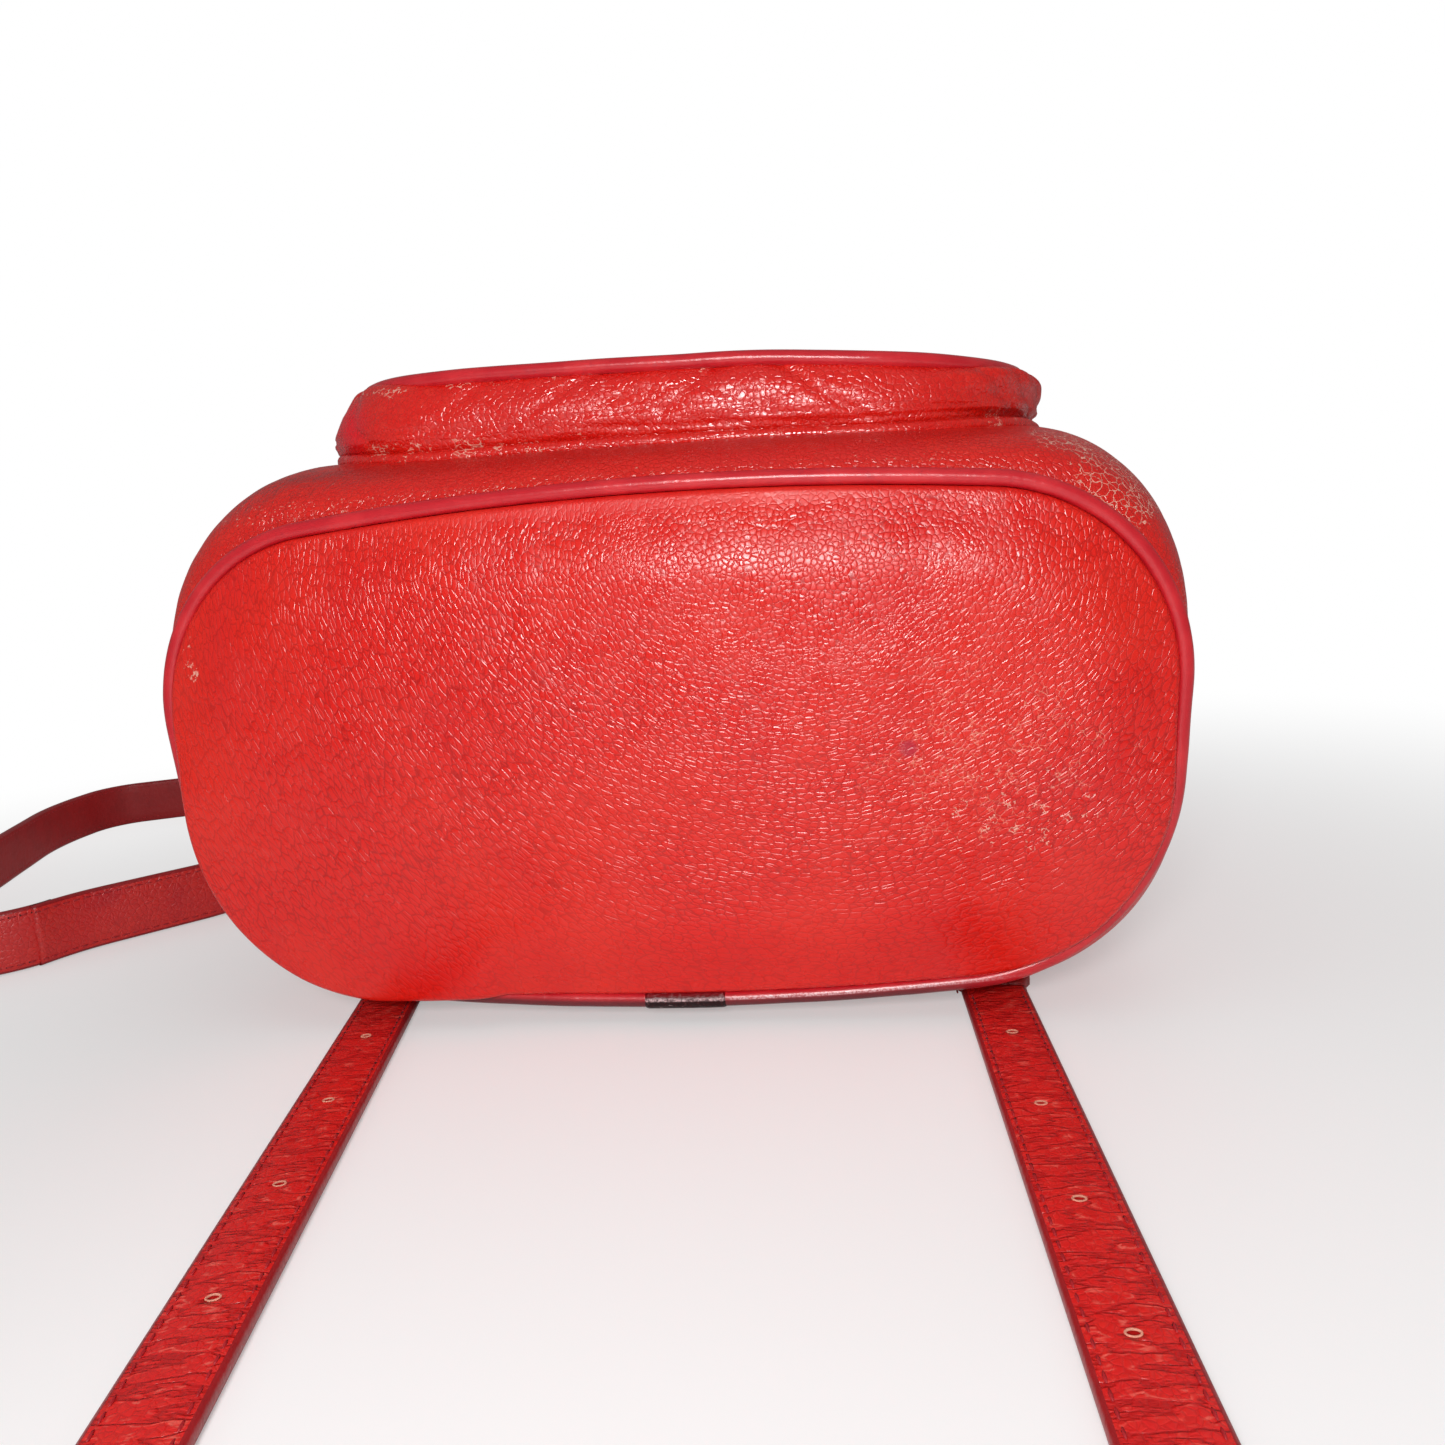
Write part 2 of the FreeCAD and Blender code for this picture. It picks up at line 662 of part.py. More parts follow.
def strap_section(middle, wide, thick, width):
    w = wide * (width / 2)
    t = thick * (STRAP_T / 2)
    corners = [middle - w - t, middle + w - t, middle + w + t, middle - w + t]
    return Part.makePolygon(corners + [corners[0]])


def strap_solid(points, radii, roll):
    """Flat at its root, then rolled up on its edge; returns the solid, its end and its length."""
    pieces = rounded_route(points, radii)
    samples = []
    travelled = 0.0
    total = route_wire(pieces).Length
    for piece in pieces:
        if piece[0] == "line":
            _, a, b = piece
            run = (b - a).Length
            heading = (b - a).normalize()
            count = 1 + int(run / STRAIGHT_STEP) if travelled < size("twist_start") + size("twist_length") else 1
            stops = [run * step / count for step in range(count + 1)]
            level_from = total - size("lifted_length") - travelled
            if 0.0 < level_from < run:
                stops = sorted(stops + [level_from])
            for stop in stops:
                samples.append((a + heading * stop, heading, travelled + stop))
        else:
            _, a, mid, b, centre = piece
            radius = (a - centre).Length
            turn = (a - centre).getAngle(b - centre)
            left = (a - centre).cross(mid - centre).z > 0
            run = radius * turn
            count = max(2, int(math.degrees(turn) / ARC_STEP_DEG) + 1)
            for step in range(1, count):
                angle = turn * step / count * (1 if left else -1)
                arm = a - centre
                c, s = math.cos(angle), math.sin(angle)
                arm = V(arm.x * c - arm.y * s, arm.x * s + arm.y * c, 0)
                heading = V(-arm.y, arm.x, 0).normalize() * (1 if left else -1)
                samples.append((centre + arm, heading, travelled + run * step / count))
        travelled += run
    sections = []
    last = -1.0
    for point, heading, done in samples:
        if done - last < 0.5:
            continue
        last = done
        share = min(1.0, max(0.0, (done - size("twist_start")) / size("twist_length")))
        twist = roll * math.pi / 2 * (share * share * (3 - 2 * share))
        before_lift = total - size("lifted_length") - done
        lift = size("end_lift") * min(1.0, max(0.0, 1.0 - before_lift / size("lift_ramp")))
        middle, wide, thick = strap_frame(point, heading, twist, lift)
        sections.append(strap_section(middle, wide, thick, STRAP_W))
    solid = Part.makeLoft(sections, True, True)
    end = (middle, heading, wide, thick)
    return solid, end, total


ROOT_Y = HINGE_Y
LEFT_ROUTE = [
    (-size("root_x"), ROOT_Y), (-size("root_x"), 284.0), (-140.0, 338.0), (-344.0, 247.0), (-344.0, 204.0),
    (-286.0, 48.0), (-234.0, 28.0), (-223.0, 62.0), (-160.0, 132.0), (-160.0, 200.0),
]
LEFT_RADII = [22.0, 60.0, 24.0, 110.0, 36.0, 30.0, 60.0, 50.0]
RIGHT_ROUTE = [
    (size("root_x"), ROOT_Y), (size("root_x"), 284.0), (165.0, 352.0), (165.0, 428.0),
    (-281.0, 428.0), (-281.0, 366.0), (-175.0, 366.0),
]
RIGHT_RADII = [22.0, 34.0, 30.0, 30.0, 28.0]


def local_to_strap(shape, end):
    """Place a shape drawn with x along the strap, y across it and z out of its grain side."""
    placed = shape.copy()
    placed.Placement = strap_placement(end)
    return placed


bar_r = size("wire_dia") / 2
bore_r = bar_r + size("bore_clearance")
barrel_r = bore_r + size("barrel_wall")
inner_w = size("buckle_inner_width")
reach = size("buckle_reach")
neck = size("neck_length")


def barrel_end():
    """The strap's narrow folded end: neck and barrel round the buckle's bar, slotted for the prong."""
    half = size("barrel_width") / 2
    body = Part.makeBox(neck + 1.0, 2 * half, STRAP_T, V(-1.0, -half, -STRAP_T / 2))
    body = body.fuse(Part.makeCylinder(barrel_r, 2 * half, V(neck, -half, 0), V(0, 1, 0)))
    slot = size("prong_slot")
    slot_box = Part.makeBox(SPARE, slot, SPARE, V(neck - barrel_r - size("prong_slot_back"), -slot / 2, -SPARE / 2))
    body = body.cut(slot_box)
    return body.cut(Part.makeCylinder(bore_r, 4 * half, V(neck, -2 * half, 0), V(0, 1, 0)))


def buckle_frame():
    """Bent round wire: the bar inside the strap's end and a loop ahead of it."""
    half = inner_w / 2 + bar_r
    c = size("buckle_corner")
    far = neck + reach
    k = c * (1 - math.sqrt(0.5))
    bar_c = size("bar_corner")
    kb = bar_c * (1 - math.sqrt(0.5))
    path = Part.Wire([
        Part.makeLine(V(neck, 0, 0), V(neck, half - bar_c, 0)),
        Part.Arc(V(neck, half - bar_c, 0), V(neck + kb, half - kb, 0), V(neck + bar_c, half, 0)).toShape(),
        Part.makeLine(V(neck + bar_c, half, 0), V(far - c, half, 0)),
        Part.Arc(V(far - c, half, 0), V(far - k, half - k, 0), V(far, half - c, 0)).toShape(),
        Part.makeLine(V(far, half - c, 0), V(far, c - half, 0)),
        Part.Arc(V(far, c - half, 0), V(far - k, k - half, 0), V(far - c, -half, 0)).toShape(),
        Part.makeLine(V(far - c, -half, 0), V(neck + bar_c, -half, 0)),
        Part.Arc(V(neck + bar_c, -half, 0), V(neck + kb, kb - half, 0), V(neck, bar_c - half, 0)).toShape(),
        Part.makeLine(V(neck, bar_c - half, 0), V(neck, 0, 0)),
    ])
    return sweep_round(path, bar_r)


def buckle_prong():
    """Straight pin with a ring round the bar, resting over the loop's far side."""
    pin_r = size("prong_dia") / 2
    ring_w = size("prong_ring_width")
    ring_r = bore_r + size("prong_ring_wall")
    rise = bar_r + pin_r + size("hinge_gap")
    lean = math.asin(rise / reach)
    pin_length = reach + size("prong_over")
    ring = Part.makeCylinder(ring_r, ring_w, V(neck, -ring_w / 2, 0), V(0, 1, 0))
    way = V(math.cos(lean), 0, math.sin(lean))
    pin = Part.makeCylinder(pin_r, pin_length, V(neck, 0, 0), way)
    tip = Part.makeSphere(pin_r, V(neck, 0, 0) + way * pin_length)
    solid = ring.fuse(pin).fuse(tip)
    return solid.cut(Part.makeCylinder(bore_r, SPARE, V(neck, -SPARE / 2, 0), V(0, 1, 0))).removeSplitter()


def strap_placement(end):
    middle, heading, wide, thick = end
    matrix = FreeCAD.Matrix(
        heading.x, wide.x, thick.x, middle.x,
        heading.y, wide.y, thick.y, middle.y,
        heading.z, wide.z, thick.z, middle.z,
        0, 0, 0, 1,
    )
    return FreeCAD.Placement(matrix)


def keeper(label, back, end):
    """Leather loop round the strap with room for the tongue on the grain side."""
    body = new_body(label)
    sketch = new_sketch(body, label + "_section", "YZ_Plane")
    inner = "Dimensions.strap_width + 2 * Dimensions.keeper_gap"
    low = "Dimensions.strap_thick / 2 + Dimensions.keeper_gap"
    high = "Dimensions.strap_thick / 2 + Dimensions.keeper_room"
    wall_t = "Dimensions.keeper_wall"
    add_rectangle(sketch, "outer", inner + " + 2 * " + wall_t, low + " + " + wall_t, high + " + " + wall_t, True)
    add_rectangle(sketch, "inner", inner, low, high, True)
    pad = add_pad(body, label + "_pad", sketch, "Dimensions.keeper_width")
    reach_out = size("strap_width") / 2 + size("keeper_gap") + size("keeper_wall") - 0.01
    outside = edges_where(pad.Shape, lambda e: level_x(e) and abs(e.CenterOfMass.y) > reach_out)
    add_fillet(body, label + "_fillet", pad, outside, "Dimensions.keeper_wall * 0.8")
    along = FreeCAD.Placement(V(-back, 0, 0), FreeCAD.Rotation())
    body.Placement = strap_placement(end).multiply(along)
    return body


def in_plane(points):
    return [V(x, y, 0) for x, y in points]


for side, route, radii, roll in (
    ("left", LEFT_ROUTE, LEFT_RADII, 1),
    ("right", RIGHT_ROUTE, RIGHT_RADII, -1),
):
    solid, end, length = strap_solid(in_plane(route), radii, roll)
    print("shoulder strap", side, "length %.1f" % length, "end", end[0])
    x_mid = route[0][0]
    rod = Part.makeCylinder(STRAP_T / 2, STRAP_W, V(x_mid - STRAP_W / 2, ROOT_Y, STRAP_Z), V(1, 0, 0))
    strap = solid.fuse(rod).fuse(local_to_strap(barrel_end(), end))
    add_feature("shoulder_strap_" + side, strap.removeSplitter())
    add_feature("buckle_frame_" + side, local_to_strap(buckle_frame(), end))
    add_feature("buckle_prong_" + side, local_to_strap(buckle_prong(), end))
    keeper("fixed_keeper_" + side, size("fixed_keeper_back"), end)
    keeper("sliding_keeper_" + side, size("sliding_keeper_back"), end)

# Anchor patch of the shoulder straps, on the back near the mouth
anchor_top = -size("back_depth") - GAP
anchor = new_body("strap_anchor")
anchor_sketch = new_sketch(anchor, "anchor_outline", "XY_Plane")
add_rectangle(anchor_sketch, "patch", "2 * Dimensions.anchor_half_width",
              "Dimensions.anchor_end_y - Dimensions.anchor_length", "Dimensions.anchor_end_y")
PATCH_THICK = "-Dimensions.back_depth - Dimensions.layer_gap - Dimensions.floor_z"
anchor_pad = add_pad(anchor, "anchor_pad", anchor_sketch, PATCH_THICK)
anchor_low = size("anchor_end_y") - 1.0
low_corners = edges_where(anchor_pad.Shape, lambda e: upright(e) and e.CenterOfMass.y < anchor_low)
add_fillet(anchor, "anchor_fillet", anchor_pad, low_corners, "Dimensions.anchor_corner")
anchor.Placement = FreeCAD.Placement(V(0, 0, FLOOR), FreeCAD.Rotation())


def tongue(label, placing):
    """Strap end with a row of holes, round at its root and cut to a point at its tip."""
    body = new_body(label)
    sketch = new_sketch(body, label + "_outline", "XY_Plane")
    add_rectangle(sketch, "strip", "Dimensions.tongue_width", "Dimensions.tongue_length",
                  "Dimensions.strap_thick / 2", True)
    pad = add_pad(body, label + "_pad", sketch, "Dimensions.strap_thick")
    tip = edges_where(pad.Shape, lambda e: upright(e) and e.CenterOfMass.y < 0)
    chamfer = body.newObject("PartDesign::Chamfer", label + "_point")
    chamfer.Base = (pad, tip)
    chamfer.setExpression("Size", "Dimensions.tongue_point")
    doc.recompute()
    root = edges_where(chamfer.Shape, lambda e: level_x(e) and e.CenterOfMass.y > 0)
    add_fillet(body, label + "_root", chamfer, root, "Dimensions.strap_thick / 2 - 0.01")
    holes = new_sketch(body, label + "_first_hole", "XY_Plane")
    holes.addGeometry(Part.Circle(V(0, -20, 0), V(0, 0, 1), 2.0), False)
    holes.addConstraint(Sketcher.Constraint("PointOnObject", 0, 3, -2))
    place = holes.addConstraint(Sketcher.Constraint("DistanceY", 0, 3, -1, 1, 20.0))
    holes.renameConstraint(place, "first")
    holes.setExpression("Constraints.first", "Dimensions.first_hole")
    dia = holes.addConstraint(Sketcher.Constraint("Diameter", 0, 4.0))
    holes.renameConstraint(dia, "dia")
    holes.setExpression("Constraints.dia", "Dimensions.hole_dia")
    pocket = body.newObject("PartDesign::Pocket", label + "_hole")
    pocket.Profile = holes
    pocket.Type = 1
    pocket.Midplane = True
    holes.Visibility = False
    doc.recompute()
    row_of_holes = body.newObject("PartDesign::LinearPattern", label + "_holes")
    row_of_holes.Originals = [pocket]
    row_of_holes.Direction = (holes, ["V_Axis"])
    row_of_holes.Reversed = True
    row_of_holes.setExpression("Length", "Dimensions.hole_pitch * (Dimensions.hole_count - 1)")
    row_of_holes.setExpression("Occurrences", "Dimensions.hole_count")
    body.Tip = row_of_holes
    doc.recompute()
    body.Placement = placing
    return body


def tongue_tab(label, placing):
    """Patch that sews the tongue's root to the back."""
    body = new_body(label)
    sketch = new_sketch(body, label + "_outline", "XY_Plane")
    start = "Dimensions.strap_thick / 2 + Dimensions.hinge_gap"
    add_rectangle(sketch, "patch", "Dimensions.tab_width", start, start + " + Dimensions.tab_length")
    pad = add_pad(body, label + "_pad", sketch, PATCH_THICK)
    far = edges_where(pad.Shape, lambda e: upright(e) and e.CenterOfMass.y > size("tab_length") / 2)
    add_fillet(body, label + "_fillet", pad, far, "Dimensions.tab_corner")
    body.Placement = placing
    return body


for side, sign, turn in (
    ("left", -1, size("tongue_left_turn_deg")),
    ("right", 1, size("tongue_right_turn_deg")),
):
    root = V(sign * size("tongue_x"), size("tongue_hinge_y"), FLOOR)
    placing = FreeCAD.Placement(root, FreeCAD.Rotation(V(0, 0, 1), turn))
    tongue("strap_tongue_" + side, placing)
    tongue_tab("tongue_tab_" + side, placing)

# Top handle: a flat arched strip that turns at the anchor patch
strip_w = size("handle_strip")
handle_half = size("handle_half_span") + strip_w / 2
handle_reach = size("handle_reach")
handle_corner = size("handle_corner")
handle = plan_prism(handle_half, -handle_reach, 0.0, handle_corner, 0.0, STRAP_T)
handle = handle.cut(plan_prism(handle_half - strip_w, strip_w - handle_reach, 1.0,
                               handle_corner - strip_w, -1.0, STRAP_T + 1.0))
for x in (-handle_half, handle_half - strip_w):
    handle = handle.fuse(Part.makeCylinder(STRAP_T / 2, strip_w, V(x, 0, STRAP_T / 2), V(1, 0, 0)))
handle = handle.removeSplitter()
handle.Placement = FreeCAD.Placement(V(0, HINGE_Y, FLOOR), FreeCAD.Rotation(V(0, 0, 1), 180))
add_feature("top_handle", handle)

doc.recompute()

# Check every object, then write the pieces
for item in doc.Objects:
    if "Invalid" in item.State or "Error" in item.State:
        raise RuntimeError("failed object: " + item.Label)
HELPERS = {"SleeveOuter", "SleeveInner"}
WHOLE = ("PartDesign::Body", "Part::Feature", "Part::Cut", "Part::Cylinder")
pieces = [item for item in doc.Objects if item.TypeId in WHOLE and item.Label not in HELPERS]
for item in pieces:
    if item.Shape.isNull() or not item.Shape.isValid() or not item.Shape.Solids:
        raise RuntimeError("bad shape: " + item.Label)
os.makedirs("parts", exist_ok=True)
for item in pieces:
    box = item.Shape.optimalBoundingBox(False)
    print(
        "%-22s solids %d volume %10.1f  x %.1f %.1f  y %.1f %.1f  z %.1f %.1f"
        % (item.Label, len(item.Shape.Solids), item.Shape.Volume, box.XMin, box.XMax, box.YMin, box.YMax,
           box.ZMin, box.ZMax)
    )
    item.Shape.exportStep("parts/%s.step" % item.Label)
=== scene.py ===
import bpy
import math
import numpy as np
from mathutils import Matrix, Vector, noise


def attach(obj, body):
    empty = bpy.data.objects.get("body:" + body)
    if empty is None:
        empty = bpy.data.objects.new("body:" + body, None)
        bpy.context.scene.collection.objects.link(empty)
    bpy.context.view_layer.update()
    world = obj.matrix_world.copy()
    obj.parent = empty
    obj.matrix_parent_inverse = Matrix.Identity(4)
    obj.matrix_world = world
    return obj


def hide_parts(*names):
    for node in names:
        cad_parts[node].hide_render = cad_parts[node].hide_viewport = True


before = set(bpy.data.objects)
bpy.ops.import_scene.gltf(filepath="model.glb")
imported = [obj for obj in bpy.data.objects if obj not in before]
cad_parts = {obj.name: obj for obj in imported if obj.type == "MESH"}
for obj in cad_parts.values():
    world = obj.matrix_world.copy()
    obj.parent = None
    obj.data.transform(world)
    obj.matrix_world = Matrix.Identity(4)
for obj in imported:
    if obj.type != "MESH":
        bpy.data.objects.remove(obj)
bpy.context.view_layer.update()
MM = 0.001

# Shared sizes in millimetres, as in the part's source
PIPE_R = 2.1
SEAM_Y = 2.6
WALL_Y = 5.3
FLOOR = -73.5
MOUTH_Y = 277.0
SLEEVE_FROM = -6.75
SLEEVE_TO = 14.75
TILT = math.radians(1.4)
STRAP_T = 3.0
STRAP_W = 21.0
HINGE_Y = 264.1
STITCH_PITCH = 3.3
POCKET_X = 5.25
BELLY_Y = 58.0
BELLY_FRONT = 83.6
TONGUE_X = 85.5
TONGUE_Y = 16.0
TONGUE_W = 17.0
TONGUE_LENGTH = 188.0
# Side, sign of x and turn in degrees of the two strap ends
STRAP_ENDS = [("left", -1, 11.0), ("right", 1, 2.5)]
UP = np.array([0.0, 0.0, 1.0])

# Places in a sheet's list of materials
OUTER, INNER, SIDE = 0, 1, 2


# Shape of the bag

def corner_centre(half_width, lean, arc_x, arc_z, arc_r, corner, side):
    """Centre of a corner arc between a leaning side and a long arc."""
    norm = math.hypot(1.0, lean)
    along = (lean / norm, 1.0 / norm)
    start_x = half_width - corner / norm
    start_z = lean * corner / norm
    off_x = start_x - arc_x * side
    off_z = start_z - arc_z
    mid = off_x * along[0] + off_z * along[1]
    root = math.sqrt(mid ** 2 - (off_x ** 2 + off_z ** 2 - (arc_r - corner) ** 2))
    move = -mid + root if arc_z < 0 else -mid - root
    return start_x + along[0] * move, start_z + along[1] * move


def sweep_arc(centre, start, end, count):
    """Points on the short arc from start to end round a centre."""
    a0 = math.atan2(start[1] - centre[1], start[0] - centre[0])
    a1 = math.atan2(end[1] - centre[1], end[0] - centre[0])
    turn = (a1 - a0 + math.pi) % (2 * math.pi) - math.pi
    radius = math.hypot(start[0] - centre[0], start[1] - centre[1])
    angles = a0 + turn * np.linspace(0, 1, count)
    return np.stack([centre[0] + radius * np.cos(angles), centre[1] + radius * np.sin(angles)], 1)


def unit(vectors):
    """The same directions with length 1."""
    return vectors / np.linalg.norm(vectors, axis=-1, keepdims=True)


def run_along(line):
    """Distance along a line at each of its points."""
    return np.concatenate([[0], np.cumsum(np.linalg.norm(np.diff(line, axis=0), axis=1))])


def outward_of(heading):
    """Directions to the right of plane headings."""
    return np.stack([heading[:, 1], -heading[:, 0]], 1)


def loop_heading(line):
    """Directions along a closed line."""
    return unit(np.roll(line, -1, 0) - np.roll(line, 1, 0))


def resample(points, count, closed=True):
    """The same line with points at even distances."""
    line = np.vstack([points, points[:1]]) if closed else np.asarray(points, float)
    run = run_along(line)
    wanted = np.linspace(0, run[-1], count, endpoint=not closed)
    return np.stack([np.interp(wanted, run, line[:, k]) for k in range(line.shape[1])], 1)


def oval(station, offset, count):
    """Outline of the bag as (x, z), from the middle of the back round by the right side."""
    half_width, lean, front, back, corner_f, corner_b, arc_f, arc_b, tilt = station
    norm = math.hypot(1.0, lean)
    wide = half_width + offset * norm
    tops = (-arc_f * math.sin(tilt), front - arc_f, arc_f + offset, corner_f + offset)
    lows = (0.0, arc_b - back, arc_b + offset, corner_b + offset)

    def corner(kind, side):
        arc_x, arc_z, arc_r, r = kind
        cx, cz = corner_centre(wide, lean, arc_x, arc_z, arc_r, r, side)
        dx, dz = cx - arc_x * side, cz - arc_z
        reach = math.hypot(dx, dz)
        return ((side * cx, cz), (side * (cx + r / norm), cz - r * lean / norm),
                (side * (cx + dx / reach * r), cz + dz / reach * r))

    low_r, low_l = corner(lows, 1), corner(lows, -1)
    top_r, top_l = corner(tops, 1), corner(tops, -1)
    parts = [
        sweep_arc((lows[0], lows[1]), (0.0, lows[1] - lows[2]), low_r[2], 40),
        sweep_arc(low_r[0], low_r[2], low_r[1], 40),
        sweep_arc(top_r[0], top_r[1], top_r[2], 40),
        sweep_arc((tops[0], tops[1]), top_r[2], top_l[2], 80),
        sweep_arc(top_l[0], top_l[2], top_l[1], 40),
        sweep_arc(low_l[0], low_l[1], low_l[2], 40),
        sweep_arc((lows[0], lows[1]), low_l[2], (0.0, lows[1] - lows[2]), 40)[:-1],
    ]
    return resample(np.vstack(parts), count)


# Outline at the base's seam; oval names the nine values
SEAM = (130.0, 0.076, 67.2, 67.2, 48.0, 56.3, 842.0, 767.0, 0.0)


def body_station(half_width, front, tilt):
    """Outline's values further up the body, where only three of them change."""
    return (half_width, 0.02, front, 69.0, 41.0, 45.0, 2600.0, 6000.0, tilt)


# Distance from the base and outline of each station of the loft
STATIONS = [
    (WALL_Y, SEAM),
    (BELLY_Y, body_station(136.0, BELLY_FRONT, TILT)),
    (130.0, body_station(131.0, 75.0, TILT)),
    (235.0, body_station(119.0, 60.0, TILT / 2)),
    (MOUTH_Y, body_station(114.0, 53.0, 0.0)),
]


def body_ring(y, offset, count):
    """The bag's outline at a distance from the base, as in the part's loft."""
    index = 0
    while index < len(STATIONS) - 2 and y > STATIONS[index + 1][0]:
        index += 1
    (y0, low), (y1, high) = STATIONS[index], STATIONS[index + 1]
    share = min(max((y - y0) / (y1 - y0), 0.0), 1.0)
    if index == 0:
        share = math.sqrt(1 - (1 - share) ** 2)
    else:
        share = (1 - math.cos(share * math.pi)) / 2
    station = tuple(a + (b - a) * share for a, b in zip(low, high))
    return oval(station, offset, count)


def front_heights(y, offset, xs):
    """Height of the bag's front at each x, from the half of the outline that faces up."""
    count = 720
    top = body_ring(y, offset, count)[count // 4:count * 3 // 4 + 1]
    order = np.argsort(top[:, 0])
    return np.interp(xs, top[order, 0], top[order, 1])


def mirrored(points):
    """The points of a section's other half, in the order that goes on round it."""
    return [(-across, away) for across, away in reversed(points)]


def tilted(points):
    """Turns points with the front of the bag, about the pocket's pivot."""
    c, s = math.cos(TILT), math.sin(TILT)
    x, z = points[..., 0] - POCKET_X, points[..., 2] - BELLY_FRONT
    out = points.copy()
    out[..., 0] = POCKET_X + x * c + z * s
    out[..., 2] = BELLY_FRONT - x * s + z * c
    return out


def wave(points, scale, seed):
    """Smooth noise at each point, from -1 to 1."""
    flat = points.reshape(-1, 3) / scale + seed
    values = [noise.noise(Vector(p)) for p in flat]
    return np.array(values).reshape(points.shape[:-1])


def row(xs, y, z):
    """A row of points; each of the three may be one number or an array."""
    return np.column_stack(np.broadcast_arrays(np.asarray(xs, float), y, z))


def smooth_step(low, high, value):
    """Smooth change from 0 at low to 1 at high."""
    t = np.clip((value - low) / (high - low), 0.0, 1.0)
    return t * t * (3 - 2 * t)


# Making meshes

def grid_normals(grid, closed):
    """Unit normals of a grid of points, by differences along rows and columns."""
    if closed:
        wide = np.concatenate([grid[:, -1:], grid, grid[:, :1]], 1)
        du = wide[:, 2:] - wide[:, :-2]
    else:
        du = np.gradient(grid, axis=1)
    dv = np.gradient(grid, axis=0)
    normal = np.cross(du, dv)
    length = np.linalg.norm(normal, axis=2, keepdims=True)
    return normal / np.maximum(length, 1e-9)


def looks_up(grid):
    """Whether the normals in the middle of an open grid point up."""
    return grid_normals(grid, False)[len(grid) // 2, grid.shape[1] // 2, 2] > 0


def arc_lengths(grid):
    """Mean distances along columns and rows, for a pattern that follows the surface."""
    du = np.linalg.norm(np.diff(grid, axis=1), axis=2).mean(axis=0)
    dv = np.linalg.norm(np.diff(grid, axis=0), axis=2).mean(axis=1)
    return np.concatenate([[0], np.cumsum(du)]), np.concatenate([[0], np.cumsum(dv)])


def grid_quads(rows, cols, closed):
    """Corners of each quad of a grid."""
    for r in range(rows - 1):
        for c in range(cols if closed else cols - 1):
            n = (c + 1) % cols
            yield r * cols + c, r * cols + n, (r + 1) * cols + n, (r + 1) * cols + c


def new_piece(name, verts, faces, materials, body, replaces=(), slot=None, uv=None, face_mats=None):
    """A finished mesh piece at the origin, given its finish and its body."""
    mesh = bpy.data.meshes.new(name)
    mesh.from_pydata((np.asarray(verts) * MM).tolist(), [], faces)
    if uv is not None:
        layer = mesh.uv_layers.new(name="flat")
        loop_verts = np.zeros(len(mesh.loops), dtype=np.int32)
        mesh.loops.foreach_get("vertex_index", loop_verts)
        layer.data.foreach_set("uv", (np.asarray(uv)[loop_verts] * MM).astype(np.float32).ravel())
    mesh.polygons.foreach_set("use_smooth", [True] * len(mesh.polygons))
    for material in materials:
        mesh.materials.append(material)
    if face_mats is not None:
        mesh.polygons.foreach_set("material_index", face_mats)
    mesh.update()
    piece = bpy.data.objects.new(name, mesh)
    bpy.context.scene.collection.objects.link(piece)
    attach(piece, body)
    if replaces:
        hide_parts(*replaces)
    return piece


def thick_sheet(name, grid, thickness, materials, body, closed=False, flip=False, **more):
    """A sheet with real thickness and round edges from a grid on its outer side.

    Materials are the outer side, the inner side and the edge.
    """
    rows, cols = grid.shape[:2]
    normal = grid_normals(grid, closed) * (-1 if flip else 1)
    inner = grid - normal * thickness
    verts = [grid.reshape(-1, 3), inner.reshape(-1, 3)]
    count = rows * cols
    faces, kinds = [], []

    def quad(a, b, c, d, kind):
        faces.append((a, b, c, d) if not flip else (d, c, b, a))
        kinds.append(kind)

    for a, b, c, d in grid_quads(rows, cols, closed):
        quad(a, b, c, d, OUTER)
        quad(count + d, count + c, count + b, count + a, INNER)
    loops = [[(0, c) for c in range(cols)], [(rows - 1, c) for c in reversed(range(cols))]]
    if not closed:
        loops = [[(0, c) for c in range(cols)] + [(r, cols - 1) for r in range(1, rows)]
                 + [(rows - 1, c) for c in range(cols - 2, -1, -1)]
                 + [(r, 0) for r in range(rows - 2, 0, -1)]]
    # The edge is rounded: both its rings lie inside the sheet's thickness and set back from its rim
    set_back, near_outer, near_inner = 0.3, 0.22, 0.78
    start = 2 * count
    for loop in loops:
        out, deep = [], []
        for r, c in loop:
            inward = np.zeros(3)
            if r in (0, rows - 1):
                inward += grid[1 if r == 0 else rows - 2, c] - grid[r, c]
            if not closed and c in (0, cols - 1):
                inward += grid[r, 1 if c == 0 else cols - 2] - grid[r, c]
            inward /= max(np.linalg.norm(inward), 1e-9)
            out.append(grid[r, c] - (normal[r, c] * near_outer + inward * set_back) * thickness)
            deep.append(grid[r, c] - (normal[r, c] * near_inner + inward * set_back) * thickness)
        size = len(loop)
        verts += [np.array(out), np.array(deep)]
        for i in range(size):
            j = (i + 1) % size
            a, b = loop[i][0] * cols + loop[i][1], loop[j][0] * cols + loop[j][1]
            o0, o1, d0, d1 = start + i, start + j, start + size + i, start + size + j
            quad(b, a, o0, o1, OUTER)
            quad(o1, o0, d0, d1, SIDE)
            quad(d1, d0, count + a, count + b, INNER)
        start += 2 * size
    us, vs = arc_lengths(grid)
    flat = np.stack(np.meshgrid(us, vs), 2).reshape(-1, 2)
    uv = [flat, flat]
    for loop in loops:
        edge = np.array([flat[r * cols + c] for r, c in loop])
        uv += [edge, edge]
    top = len(materials) - 1
    return new_piece(name, np.vstack(verts), faces, materials, body, uv=np.vstack(uv),
                     face_mats=[min(kind, top) for kind in kinds], **more)


